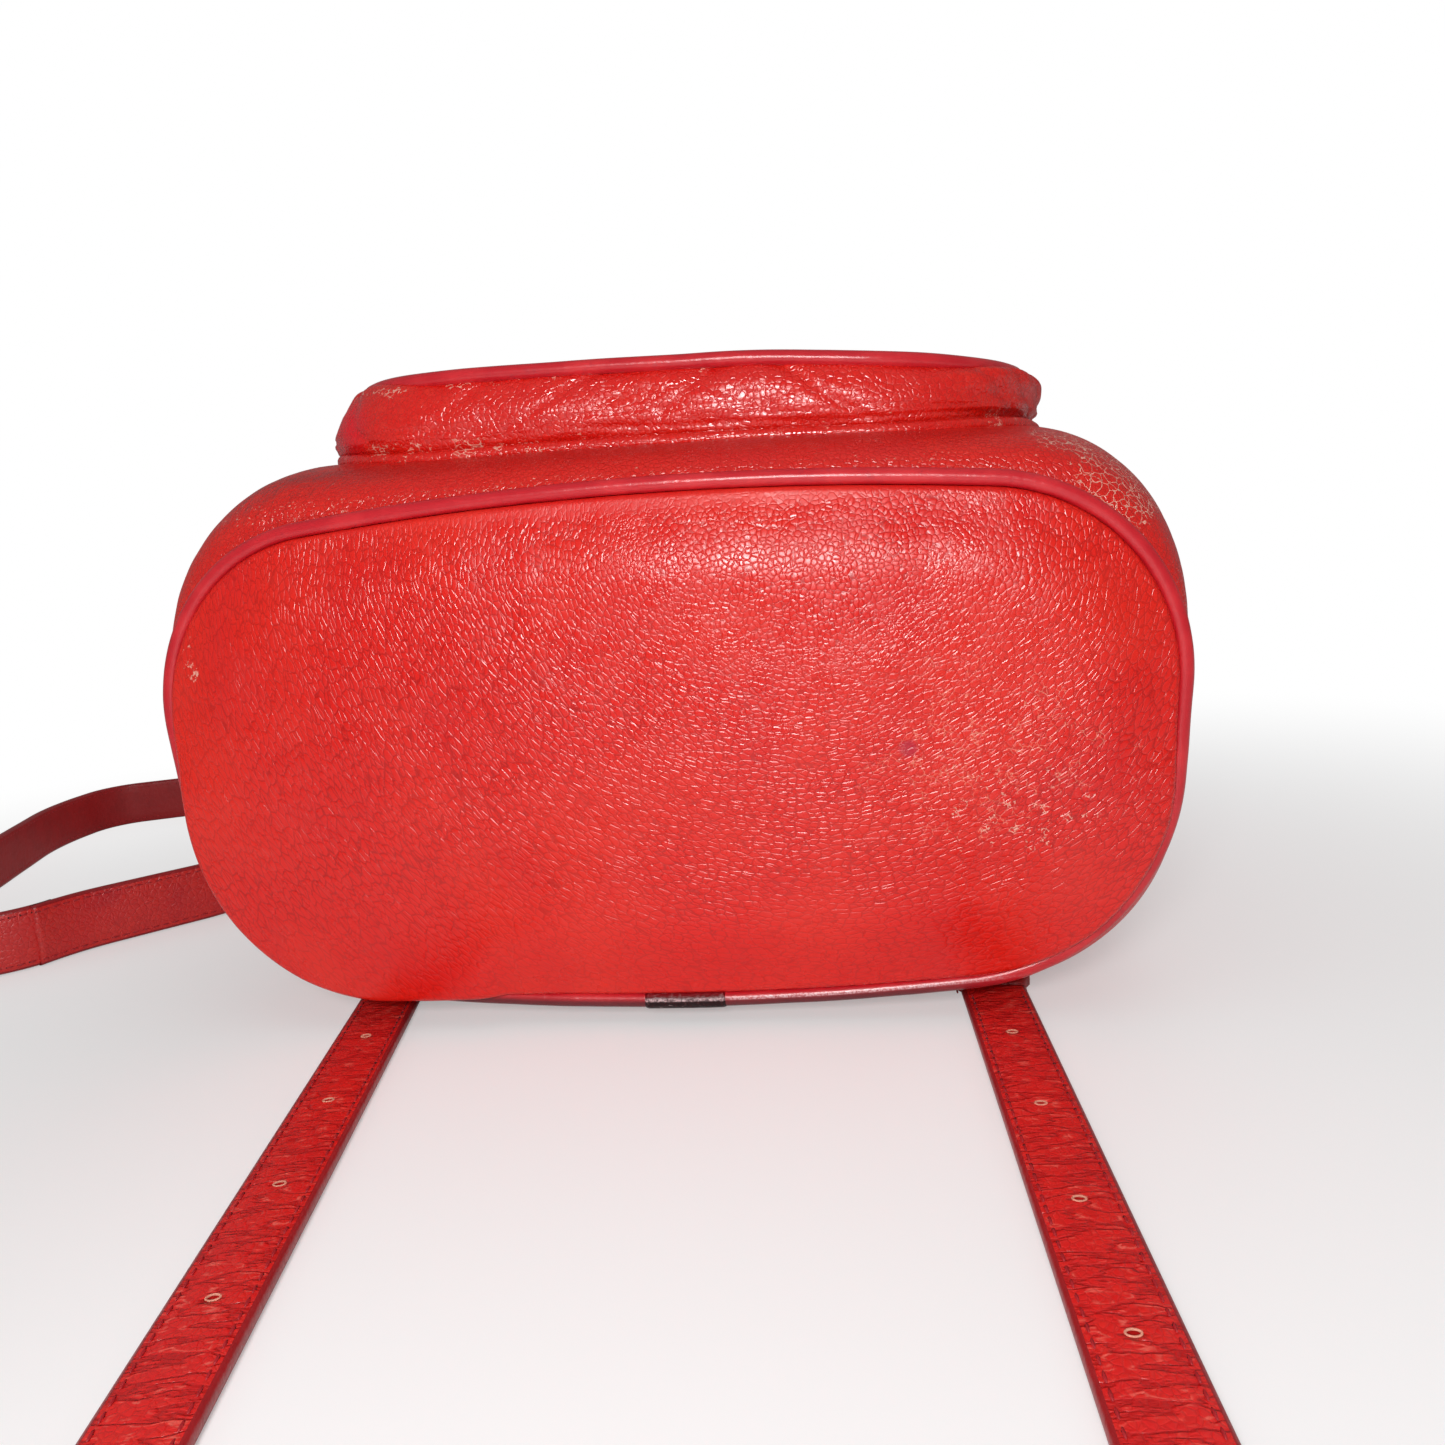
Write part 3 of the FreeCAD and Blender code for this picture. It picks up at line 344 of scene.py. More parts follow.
def swept(name, path, sections, materials, body, closed=False, face_mats=None, **more):
    """A solid through a row of closed sections, each a list of points; face_mats goes round a section."""
    grid = np.asarray(sections)
    rows, cols = grid.shape[:2]
    faces, kinds = [], []
    for r in range(rows if closed else rows - 1):
        n = (r + 1) % rows
        for c in range(cols):
            m = (c + 1) % cols
            faces.append((r * cols + c, n * cols + c, n * cols + m, r * cols + m))
            kinds.append(face_mats[c] if face_mats else 0)
    if not closed:
        faces.append(tuple(range(cols)))
        faces.append(tuple(range((rows - 1) * cols, rows * cols))[::-1])
        kinds += [face_mats[-1] if face_mats else 0] * 2
    uv = np.stack(np.meshgrid(run_along(grid[0]), run_along(path)), 2).reshape(-1, 2)
    return new_piece(name, grid.reshape(-1, 3), faces, materials, body, uv=uv, face_mats=kinds, **more)


def tube_sections(path, radius, closed, sides=14, up=(0.0, 1.0, 0.0)):
    """Round sections along a path; radius may be a list."""
    tangent = loop_heading(path) if closed else unit(np.gradient(path, axis=0))
    side = unit(np.cross(tangent, np.broadcast_to(np.asarray(up, float), path.shape)))
    up = np.cross(side, tangent)
    radius = np.broadcast_to(np.asarray(radius, float), (len(path),))
    turn = np.linspace(0, 2 * math.pi, sides, endpoint=False)
    ring = side[:, None] * np.cos(turn)[None, :, None] + up[:, None] * np.sin(turn)[None, :, None]
    return path[:, None] + ring * radius[:, None, None]


# Finishes

# Type of the sockets that a mix node of each kind works on
MIX_SOCKETS = {"RGBA": "RGBA", "FLOAT": "VALUE"}


class Tree:
    """Short calls for building a node tree."""

    def __init__(self, tree):
        self.tree = tree

    def feed(self, socket, value):
        """Links another node's output to a socket, or writes a constant there."""
        if isinstance(value, bpy.types.NodeSocket):
            self.tree.links.new(value, socket)
        else:
            socket.default_value = value

    def node(self, kind, inputs=None, **props):
        made = self.tree.nodes.new(kind)
        for key, value in props.items():
            setattr(made, key, value)
        for key, value in (inputs or {}).items():
            self.feed(made.inputs[key], value)
        return made

    def math(self, operation, a, b=0.5):
        return self.node("ShaderNodeMath", {0: a, 1: b}, operation=operation).outputs[0]

    def times(self, first, *others):
        """All the factors multiplied."""
        for factor in others:
            first = self.math("MULTIPLY", first, factor)
        return first

    def plus(self, a, b):
        return self.math("ADD", a, b)

    def vector(self, operation, a, b=None):
        """Vector arithmetic on a and b; SCALE takes a number for b, and LENGTH gives one."""
        inputs = {0: a}
        if b is not None:
            inputs["Scale" if operation == "SCALE" else 1] = b
        made = self.node("ShaderNodeVectorMath", inputs, operation=operation)
        return made.outputs["Value" if operation == "LENGTH" else "Vector"]

    def ramp(self, value, low, high, out_low=0.0, out_high=1.0):
        """Smooth change from out_low at low to out_high at high."""
        made = self.node("ShaderNodeMapRange", {"Value": value, "From Min": low, "From Max": high,
                                                "To Min": out_low, "To Max": out_high},
                         interpolation_type="SMOOTHSTEP")
        return made.outputs["Result"]

    def fall(self, value, low, high):
        """Smooth change from 1 at low to 0 at high."""
        return self.ramp(value, low, high, 1.0, 0.0)

    def mix(self, share, a, b, kind="RGBA"):
        made = self.node("ShaderNodeMix", data_type=kind)
        ends = [socket for socket in made.inputs if socket.type == MIX_SOCKETS[kind] and socket.name in "AB"]
        for socket, value in zip([made.inputs[0]] + ends, (share, a, b)):
            self.feed(socket, value)
        return next(socket for socket in made.outputs if socket.type == MIX_SOCKETS[kind])


def new_group(name, inputs, outputs):
    """A shader group's tree, its inputs' sockets and its outputs' sockets."""
    group = bpy.data.node_groups.new(name, "ShaderNodeTree")
    for label, kind, value in inputs:
        socket = group.interface.new_socket(label, in_out="INPUT", socket_type="NodeSocket" + kind)
        if value is not None:
            socket.default_value = value
    for label in outputs:
        group.interface.new_socket(label, in_out="OUTPUT", socket_type="NodeSocketFloat")
    t = Tree(group)
    return t, t.node("NodeGroupInput").outputs, t.node("NodeGroupOutput").inputs


def wandering_place(t, given, size, noise_share, detail, reach):
    """The stretched place, pushed about by noise, and the scale of a pattern of the given size."""
    place = t.vector("MULTIPLY", given["Place"], given["Stretch"])
    scale = t.math("DIVIDE", 1.0, given[size])
    wander = t.node("ShaderNodeTexNoise", {"Vector": place, "Scale": t.times(scale, noise_share),
                                           "Detail": detail}).outputs["Color"]
    moved = t.vector("SUBTRACT", wander, (0.5, 0.5, 0.5))
    return t.vector("ADD", place, t.vector("SCALE", moved, t.times(given[size], reach))), scale


def make_pebble_group():
    """Leather pebbles: rounded cells of uneven size with creases between them."""
    t, given, out = new_group(
        "leather pebbles",
        [("Place", "Vector", None), ("Pebble size", "Float", 0.0023), ("Stretch", "Vector", (1, 1, 1)),
         ("Unevenness", "Float", 0.35)],
        ["Height", "Valley", "Tone"],
    )
    place, scale = wandering_place(t, given, "Pebble size", 0.35, 2.0, t.times(given["Unevenness"], 2.0))
    cells = {"Vector": place, "Scale": scale, "Randomness": 0.95}
    to_edge = t.node("ShaderNodeTexVoronoi", cells, feature="DISTANCE_TO_EDGE").outputs["Distance"]
    middle = t.node("ShaderNodeTexVoronoi", cells, feature="F1").outputs
    dome = t.math("SUBTRACT", 1.0, t.math("POWER", middle["Distance"], 2.0))
    t.feed(out["Height"], t.plus(t.times(dome, 0.5), t.times(t.ramp(to_edge, 0.0, 0.2), 0.5)))
    t.feed(out["Valley"], t.fall(to_edge, 0.0, 0.10))
    t.feed(out["Tone"], t.node("ShaderNodeSeparateColor", {0: middle["Color"]}).outputs[0])
    return t.tree


def make_patch_group():
    """A soft oval patch round a point, 1 inside and 0 outside."""
    t, given, out = new_group(
        "soft patch",
        [("Place", "Vector", None), ("Centre", "Vector", (0, 0, 0)), ("Reach", "Vector", (1, 1, 1)),
         ("Core", "Float", 0.3)],
        ["Mask"],
    )
    off = t.vector("DIVIDE", t.vector("SUBTRACT", given["Place"], given["Centre"]), given["Reach"])
    t.feed(out["Mask"], t.fall(t.vector("LENGTH", off), given["Core"], 1.0))
    return t.tree


def make_crackle_group():
    """Fine cracks where a finish has broken, gathered in clumps; also used to paint glints."""
    t, given, out = new_group(
        "crackle wear and glints",
        [("Place", "Vector", None), ("Crack size", "Float", 0.0012), ("Stretch", "Vector", (1, 1, 1)),
         ("Clump size", "Float", 0.01), ("Amount", "Float", 0.5), ("Line", "Float", 0.08)],
        ["Mask"],
    )
    place, scale = wandering_place(t, given, "Crack size", 0.6, 3.0, 1.6)
    cells = t.node("ShaderNodeTexVoronoi", {"Vector": place, "Scale": scale}, feature="DISTANCE_TO_EDGE")
    lines = t.fall(cells.outputs["Distance"], 0.0, given["Line"])
    clump_scale = t.math("DIVIDE", 1.0, given["Clump size"])
    clumps = t.node("ShaderNodeTexNoise", {"Vector": given["Place"], "Scale": clump_scale, "Detail": 5.0,
                                           "Roughness": 0.68}).outputs["Fac"]
    edge = t.math("SUBTRACT", 0.78, t.times(given["Amount"], 0.5))
    t.feed(out["Mask"], t.times(lines, t.ramp(clumps, t.math("SUBTRACT", edge, 0.035), edge)))
    return t.tree


PEBBLES = make_pebble_group()
PATCH = make_patch_group()
CRACKLE = make_crackle_group()


class Finish(Tree):
    """One material: a Principled shader with colour and height that effects build up."""

    def __init__(self, name, colour, roughness, coat=0.0, specular=0.5, pattern="Object", sheen=0.0):
        self.material = bpy.data.materials.new(name)
        self.material.use_nodes = True
        super().__init__(self.material.node_tree)
        self.shader = self.tree.nodes["Principled BSDF"]
        self.place = self.node("ShaderNodeTexCoord").outputs[pattern]
        self.colour = colour
        self.rough = roughness
        self.height = None
        self.shader.inputs["Specular IOR Level"].default_value = specular
        self.shader.inputs["Coat Weight"].default_value = coat
        self.shader.inputs["Coat Roughness"].default_value = 0.25
        self.shader.inputs["Sheen Weight"].default_value = sheen

    def axes(self):
        return self.node("ShaderNodeSeparateXYZ", {0: self.place}).outputs

    def tint(self, share, colour):
        self.colour = self.mix(share, self.colour, colour)

    def mottle(self, size, low, high, share, colour, detail=4.0, stretch=None):
        """Tints uneven spots of about one size."""
        self.tint(self.ramp(self.noise(size, detail, stretch), low, high, 0.0, share), colour)

    def raise_by(self, value, weight):
        part = self.times(value, weight)
        self.height = part if self.height is None else self.plus(self.height, part)

    def noise(self, size, detail=3.0, stretch=None):
        place = self.vector("MULTIPLY", self.place, stretch) if stretch else self.place
        return self.node("ShaderNodeTexNoise",
                         {"Vector": place, "Scale": 1.0 / size, "Detail": detail}).outputs["Fac"]

    def group(self, tree, inputs):
        return self.node("ShaderNodeGroup", {"Place": self.place, **inputs}, node_tree=tree).outputs

    def patch(self, centre, reach, core=0.3):
        """Mask of an oval patch, given in millimetres."""
        centre, reach = (tuple(value * MM for value in values) for values in (centre, reach))
        return self.group(PATCH, {"Centre": centre, "Reach": reach, "Core": core})["Mask"]

    def crackle(self, amount, crack, clump, line, share=0.7, colour=None, stretch=(1, 1, 1)):
        """Tints pale cracks in, as many as the amount says: real wear, and in some places painted glints."""
        mask = self.group(CRACKLE, {"Crack size": crack, "Stretch": stretch, "Clump size": clump,
                                    "Amount": amount, "Line": line})["Mask"]
        self.tint(self.times(mask, share), colour or PALE_WEAR_AND_GLINT)

    def done(self):
        self.feed(self.shader.inputs["Base Color"], self.colour)
        self.feed(self.shader.inputs["Roughness"], self.rough)
        if self.height is not None:
            relief = self.node("ShaderNodeBump", {"Strength": 1.0, "Distance": 1.0, "Height": self.height})
            self.feed(self.shader.inputs["Normal"], relief.outputs["Normal"])
        return self.material


def rgb(red, green, blue):
    """A colour written as on a screen, made linear."""
    channel = [v / 255 for v in (red, green, blue)]
    return tuple(v / 12.92 if v <= 0.04045 else ((v + 0.055) / 1.055) ** 2.4 for v in channel) + (1.0,)


def darker(colour, share):
    return tuple(channel * share for channel in colour[:3]) + (1.0,)


RED = rgb(214, 23, 14)
# Pale colour of worn cracks, also used for painted glints
PALE_WEAR_AND_GLINT = rgb(240, 200, 178)
RASPBERRY = rgb(192, 26, 38)
MAROON = rgb(34, 5, 8)


def pebbled(name, colour, size, relief, roughness, **more):
    """Red pebbled leather with uneven colour and painted shade in its valleys; the start of each leather
    finish.
    """
    f = Finish(name, colour, roughness, **more)
    pebbles = f.group(PEBBLES, {"Pebble size": size})
    f.raise_by(pebbles["Height"], relief)
    # Painted shade: the valleys between pebbles are tinted darker
    f.tint(f.times(pebbles["Valley"], 0.42), darker(colour, 0.62))
    f.tint(f.ramp(pebbles["Tone"], 0.2, 1.0, 0.0, 0.13), rgb(232, 66, 46))
    f.mottle(0.03, 0.42, 0.68, 0.30, rgb(200, 30, 34))
    return f


def grain_arcs(f, centre_x, centre_z):
    """Place for pebbles that lie in arcs round a point of the base, and the distance from that point."""
    x = f.axes()
    off_x = f.math("SUBTRACT", x["X"], centre_x * MM)
    off_z = f.math("SUBTRACT", x["Z"], centre_z * MM)
    radius = f.vector("LENGTH", f.node("ShaderNodeCombineXYZ", {"X": off_x, "Z": off_z}).outputs[0])
    angle = f.math("ARCTAN2", off_x, f.times(off_z, -1.0))
    along = f.times(angle, f.plus(f.times(radius, 0.25), 0.045))
    return f.node("ShaderNodeCombineXYZ", {"X": radius, "Y": x["Y"], "Z": along}).outputs[0], radius


def base_finish():
    f = Finish("base leather", RED, 0.3)
    arcs, radius = grain_arcs(f, 42.0, 66.0)
    long = f.group(PEBBLES, {"Place": arcs, "Pebble size": 0.0014, "Stretch": (1.15, 1.0, 0.68),
                             "Unevenness": 0.5})
    round_ones = f.group(PEBBLES, {"Pebble size": 0.0014, "Unevenness": 0.45})
    z = f.axes()["Z"]
    drawn_out = f.ramp(f.plus(radius, f.times(f.noise(0.02), 0.02)), 0.040, 0.068)
    height = f.mix(drawn_out, round_ones["Height"], long["Height"], "FLOAT")
    valley = f.mix(drawn_out, round_ones["Valley"], long["Valley"], "FLOAT")
    # The grain is shallow on the rolled top edge and low on the panel
    on_roll = f.ramp(z, 0.0585, 0.0630, 1.0, 0.4)
    low_down = f.ramp(f.plus(z, f.times(f.noise(0.03), 0.02)), -0.060, -0.015, 0.5, 1.0)
    depth = f.times(on_roll, low_down)
    f.raise_by(f.times(height, depth), 0.00012)
    f.raise_by(f.noise(0.0006), 0.00002)
    f.raise_by(f.noise(0.014, 2.0, (1.0, 1.0, 1.6)), 0.00015)
    # Painted shade darkens the valleys between pebbles, less where the grain is shallow
    f.tint(f.times(valley, depth, 0.6), rgb(142, 2, 4))
    f.mottle(0.05, 0.40, 0.66, 0.35, rgb(224, 50, 32))
    f.mottle(0.02, 0.5, 0.7, 0.25, rgb(198, 20, 26))
    worn = f.patch((90, 0, -17), (44, 40, 22), 0.2)
    f.crackle(f.times(worn, 0.37), 0.0011, 0.0034, 0.14)
    # Painted glints: thin pale pinkish lines along pebble edges on the right of the panel
    glint_spread = f.patch((84, 0, -4), (58, 60, 40), 0.2)
    f.crackle(f.times(glint_spread, 0.52), 0.0021, 0.006, 0.045, 0.5, rgb(240, 160, 134))
    scuff = f.patch((-121, 0, 30), (5, 40, 16))
    f.crackle(f.times(scuff, 0.42), 0.0014, 0.003, 0.3)
    spot = f.patch((64.8, 0, -0.6), (3.0, 20, 2.8), 0.5)
    f.tint(f.times(spot, 0.7), rgb(170, 12, 48))
    uneven = f.ramp(f.noise(0.006, 4.0), 0.3, 0.7, 0.23, 0.33)
    f.rough = f.plus(uneven, f.ramp(z, 0.0590, 0.0620, 0.0, 0.12))
    return f.done()


def along_low_run(f):
    """Place along the base's lower piping, height above its middle line, and a mask of that run."""
    x = f.axes()
    bow = f.times(x["X"], x["X"], 0.652)
    above = f.math("SUBTRACT", f.plus(x["Z"], 0.0672), bow)
    sideways = f.fall(f.math("ABSOLUTE", x["X"]), 0.06, 0.10)
    return x["X"], above, f.times(sideways, f.fall(x["Y"], 0.006, 0.008))


def sparkle_line(f, above, amount):
    """Pale specks where light catches the rough middle line."""
    line = f.times(f.ramp(above, 0.0000, 0.0004), f.fall(above, 0.0007, 0.0013))
    specks = f.ramp(f.noise(0.0005), 0.38, 0.62, 0.15, 0.8)
    f.tint(f.times(line, specks, amount), rgb(226, 190, 192))


def piping_finish():
    f = Finish("piping leather", RASPBERRY, 0.3, coat=0.1)
    f.mottle(0.012, 0.4, 0.7, 0.5, rgb(222, 52, 56))
    f.mottle(0.003, 0.6, 0.75, 0.35, rgb(150, 30, 48))
    f.raise_by(f.noise(0.0016, 4.0), 0.00010)
    along, above, run = along_low_run(f)
    # Painted shade darkens the lower half of the base's lower piping, and on its right run a painted
    # highlight of pale specks follows the middle line
    f.tint(f.times(f.ramp(above, -0.0004, 0.0012, 0.85, 0.0), run), rgb(74, 22, 30))
    sparkle_line(f, above, f.times(run, f.ramp(along, 0.010, 0.020)))
    return f.done()


def sleeve_finish():
    f = Finish("sleeve leather", MAROON, 0.26, specular=0.3)
    f.raise_by(f.noise(0.0014, 4.0), 0.0005)
    f.mottle(0.002, 0.55, 0.75, 0.4, rgb(84, 20, 28), 3.0)
    # Painted light on the sleeve: pale specks as painted glints, the upper half tinted lighter red where
    # light falls, and a painted highlight along the middle line
    f.mottle(0.0009, 0.62, 0.72, 0.5, rgb(196, 168, 168), 3.0, (0.5, 1.0, 1.0))
    above = along_low_run(f)[1]
    f.tint(f.ramp(above, 0.0006, 0.0018, 0.0, 0.8), rgb(132, 18, 26))
    sparkle_line(f, above, 1.0)
    return f.done()


def body_finish():
    f = pebbled("body leather", RED, 0.0014, 0.00019, 0.3, specular=0.6)
    f.raise_by(f.noise(0.018, 3.0, (0.7, 1.0, 1.3)), 0.0009)
    left_shoulder = f.patch((-96, 18, 72), (26, 24, 16))
    f.raise_by(f.times(left_shoulder, f.noise(0.005, 3.0, (1.6, 0.8, 0.45))), 0.0022)
    right_shoulder = f.patch((118, 26, 64), (36, 50, 34))
    f.crackle(f.plus(f.times(right_shoulder, 0.62), 0.12), 0.0025, 0.014, 0.05, 0.75)
    f.crackle(f.plus(f.times(right_shoulder, 0.06), 0.12), 0.0008, 0.0022, 0.3)
    x = f.axes()
    front_strip = f.times(f.fall(x["Y"], 0.018, 0.026), f.ramp(x["Z"], 0.062, 0.066))
    # Painted glints: pale specks in a band beside the base piping
    glint_band_by_piping = f.times(front_strip, f.fall(x["Z"], 0.069, 0.0735), f.fall(x["X"], 0.07, 0.10))
    f.crackle(f.times(glint_band_by_piping, 0.3), 0.0007, 0.0012, 0.3, 0.6)
    # Painted shade: a darker band along the top of the strip, under the pocket's lip
    f.tint(f.times(front_strip, f.ramp(x["Z"], 0.0725, 0.077), 0.35), rgb(150, 12, 10))
    return f.done()


def pocket_finish():
    f = pebbled("pocket leather", RED, 0.0015, 0.00014, 0.27, specular=0.7)
    f.raise_by(f.noise(0.007, 3.0, (0.35, 1.0, 1.3)), 0.0005)
    x = f.axes()
    level = f.plus(x["Z"], f.times(x["X"], math.tan(TILT)))
    rim = f.times(f.ramp(level, 0.0945, 0.0975), f.fall(level, 0.0985, 0.0995))
    lip = f.fall(level, 0.0825, 0.0845)
    left = f.ramp(x["X"], -0.045, 0.0, 1.0, 0.45)
    near_base = f.ramp(x["Y"], 0.055, 0.075, 1.0, 0.3)
    near_edges = f.times(f.math("MAXIMUM", rim, lip), left, near_base, 0.37)
    corner = f.patch((93, 32, 79), (9, 24, 7), 0.2)
    amount = f.plus(f.math("MAXIMUM", near_edges, f.times(corner, 0.42)), 0.06)
    f.crackle(amount, 0.0014, 0.005, 0.11, stretch=(0.6, 1, 1.3))
    smear = f.patch((-89, 44, 91), (15, 60, 12), 0.35)
    f.tint(f.times(smear, 0.85), rgb(222, 0, 28))
    uneven = f.ramp(f.noise(0.003, 4.0), 0.3, 0.7, 0.18, 0.32)
    f.rough = f.plus(uneven, f.ramp(x["Y"], 0.036, 0.070, 0.0, 0.28))
    return f.done()


def strap_finish(name, pattern):
    f = pebbled(name, rgb(196, 40, 38), 0.0017, 0.00014, 0.38, pattern=pattern)
    f.mottle(0.02, 0.5, 0.72, 0.5, rgb(168, 24, 36), 3.0)
    return f.done()


def tongue_finish():
    """Strap leather with creases across it from bending."""
    f = pebbled("tongue leather", rgb(214, 32, 30), 0.0014, 0.00010, 0.3, pattern="UV")
    across = f.noise(0.004, 3.0, (0.3, 1.0, 1.0))
    near = f.math("ABSOLUTE", f.math("SUBTRACT", across, 0.5))
    fold = f.fall(near, 0.0, 0.05)
    f.raise_by(fold, -0.00016)
    # Painted shade darkens each fold; pale specks run along the folds' crests
    f.tint(f.times(fold, 0.45), rgb(138, 8, 14))
    crest = f.times(f.ramp(near, 0.05, 0.075), f.fall(near, 0.075, 0.10))
    f.tint(f.times(crest, f.ramp(f.noise(0.003), 0.5, 0.62, 0.0, 0.55)), rgb(240, 120, 104))
    return f.done()


def plain_leather(name, colour, roughness, size, relief):
    f = Finish(name, colour, roughness)
    f.raise_by(f.noise(size, 4.0), relief)
    f.mottle(size * 4, 0.4, 0.7, 0.4, darker(colour, 0.7))
    return f.done()


def cloth_finish():
    """Plain woven lining."""
    f = Finish("lining cloth", rgb(112, 32, 36), 0.8, sheen=0.2)
    wave_inputs = {"Vector": f.place, "Scale": 520.0, "Distortion": 1.5, "Detail Scale": 2.0}
    warp = f.node("ShaderNodeTexWave", wave_inputs, bands_direction="X").outputs["Fac"]
    weft = f.node("ShaderNodeTexWave", wave_inputs, bands_direction="Y").outputs["Fac"]
    f.raise_by(f.times(warp, weft), 0.00012)
    f.tint(f.times(warp, 0.3), rgb(84, 22, 28))
    f.mottle(0.02, 0.4, 0.7, 0.3, rgb(70, 20, 24), 3.0)
    return f.done()


def metal_finish():
    f = Finish("aged brass", rgb(214, 176, 104), 0.28)
    f.shader.inputs["Metallic"].default_value = 1.0
    f.rough = f.ramp(f.noise(0.003, 4.0), 0.3, 0.7, 0.2, 0.42)
    f.mottle(0.004, 0.55, 0.75, 0.5, rgb(150, 112, 62))
    f.raise_by(f.noise(0.0009, 2.0), 0.00002)
    return f.done()


BASE = base_finish()
PIPING = piping_finish()
SLEEVE = sleeve_finish()
BODY = body_finish()
POCKET = pocket_finish()
STRAP = strap_finish("strap leather", "UV")
TONGUE = tongue_finish()
PATCH_LEATHER = strap_finish("patch leather", "Object")
STRAP_BACK = plain_leather("strap lining", rgb(154, 16, 18), 0.55, 0.002, 0.0002)
EDGE = plain_leather("painted edge", rgb(150, 30, 34), 0.35, 0.0015, 0.0002)
SUEDE = plain_leather("flesh side", rgb(150, 62, 52), 0.85, 0.0008, 0.0003)
BOARD = plain_leather("fibre board", rgb(150, 122, 88), 0.9, 0.0006, 0.0002)
CLOTH = cloth_finish()
METAL = metal_finish()
THREAD = plain_leather("thread", rgb(168, 26, 34), 0.6, 0.0004, 0.0001)
# Painted shade: dark beads stand for the shade inside needle holes
NEEDLE_HOLE_SHADE = plain_leather("needle hole", rgb(62, 8, 12), 0.8, 0.0004, 0.0001)
WORN_RIM = plain_leather("worn hole rim", rgb(222, 150, 126), 0.7, 0.0006, 0.0002)

# Outer side, inner side and edge of each kind of sheet
BODY_SIDES = [BODY, SUEDE, EDGE]
POCKET_SIDES = [POCKET, SUEDE, EDGE]
STRAP_SIDES = [STRAP, STRAP_BACK, EDGE]
PATCH_SIDES = [PATCH_LEATHER, STRAP_BACK, EDGE]


# Base: crowned panel, board, piping and sleeve

def seam_ring(y, offset, count=420):
    """The seam's outline at y, moved outward by offset."""
    ring = oval(SEAM, offset, count)
    return row(ring[:, 0], y, ring[:, 1])


# Where the panel's rolled edge lies beside the seam: degrees round the base from +X, then millimetres
PANEL_EDGE = [(-180, -1.0), (-170, 0.4), (-160, 1.6), (-150, 2.3), (-142, 2.0), (-134, 0.4), (-124, -1.5),
              (-112, -1.9), (-90, -2.1), (-60, -2.1), (-40, -1.8), (-25, -1.0), (-10, -0.9), (0, -1.4),
              (20, -2.0), (40, -2.1), (90, -2.1), (140, -2.1), (160, -1.9), (172, -1.5), (180, -1.0)]
CROWN_Y = -3.6
MIDDLE_RISE = 0.8


def make_base_panel():
    """Padded panel whose rolled edge tucks in beside the piping at the top and covers it low down."""
    count = 480
    seam = oval(SEAM, 0.0, count)
    angle = np.degrees(np.arctan2(seam[:, 1], seam[:, 0]))
    edge = np.interp(angle, *np.transpose(PANEL_EDGE))
    outward = outward_of(loop_heading(seam))
    over = smooth_step(-2.1, -0.6, edge)
    roll = 1.7
    middle_y = 1.9 - 3.3 * over
    rows = []
    for turn in (-75, -50, -25, 0, 20, 40, 58, 74, 90):
        a = math.radians(turn)
        ring = seam + outward * (edge - roll + roll * math.cos(a))[:, None]
        rows.append(row(ring[:, 0], middle_y - roll * math.sin(a), ring[:, 1]))
    lip_y = middle_y - roll
    rise = (-6.0, 20.0)
    start_share = smooth_step(*rise, 0.0)
    for inward in (2.2, 3.8, 5.8, 8.0, 10.5, 13.5, 17.0, 21.0, 26.0):
        ring = seam + outward * (edge - roll - inward)[:, None]
        share = (smooth_step(*rise, inward) - start_share) / (1 - start_share)
        rows.append(row(ring[:, 0], lip_y + (CROWN_Y - lip_y) * share, ring[:, 1]))
    last = rows[-1]
    for share in np.linspace(0.93, 0.03, 16):
        rows.append(row(last[:, 0] * share, CROWN_Y - MIDDLE_RISE * (1 - share ** 2), last[:, 2] * share))
    grid = np.array(rows)
    # The rolled edge keeps its shape
    edge_rows = 10
    soft = np.ones(len(rows))
    soft[:edge_rows] = np.linspace(0.1, 0.8, edge_rows)
    dents = wave(grid, 30.0, 3.0) * 0.6 + wave(grid, 11.0, 8.0) * 0.22
    grid[..., 1] += dents * soft[:, None]
    back = len(rows) * count
    verts = np.vstack([grid.reshape(-1, 3), seam_ring(2.35, -4.2, count)])
    faces = list(grid_quads(len(rows), count, True))
    faces.append(tuple(range(back - count, back)))
    faces += [((c + 1) % count, c, back + c, back + (c + 1) % count) for c in range(count)]
    faces.append(tuple(range(back, back + count))[::-1])
    piece = new_piece("base_panel_skin", verts, faces, [BASE], "bag", ["base_panel"], "base_leather")


def make_board():
    count, thickness = 240, 1.6
    ring = seam_ring(2.4, -9.0, count)
    top = ring + [0, thickness, 0]
    faces = [tuple(range(count)), tuple(range(count, 2 * count))[::-1]]
    faces += [((c + 1) % count, c, count + c, count + (c + 1) % count) for c in range(count)]
    new_piece("base_stiffener", np.vstack([ring, top]), faces, [BOARD], "bag", ["base_board"], "fibreboard")


def make_base_piping():
    path = seam_ring(SEAM_Y, 0.0, 720)
    path[:, 1] += wave(path, 20.0, 1.0) * 0.12
    radius = PIPE_R * (1 + 0.03 * wave(path, 7.0, 2.0))
    sections = tube_sections(path, radius, True, up=(0, 1, 0))
    swept("base_piping_cord", path, sections, [PIPING], "bag", closed=True, replaces=["base_piping"],
          slot="piping_leather")
    flange = np.array([seam_ring(SEAM_Y + 1.5, -0.3, 420), seam_ring(SEAM_Y + 2.0, -2.0, 420),
                       seam_ring(SEAM_Y + 2.2, -5.0, 420)])
    thick_sheet("base_piping_flange", flange, 0.4, [PIPING], "bag", closed=True, slot="piping_leather")


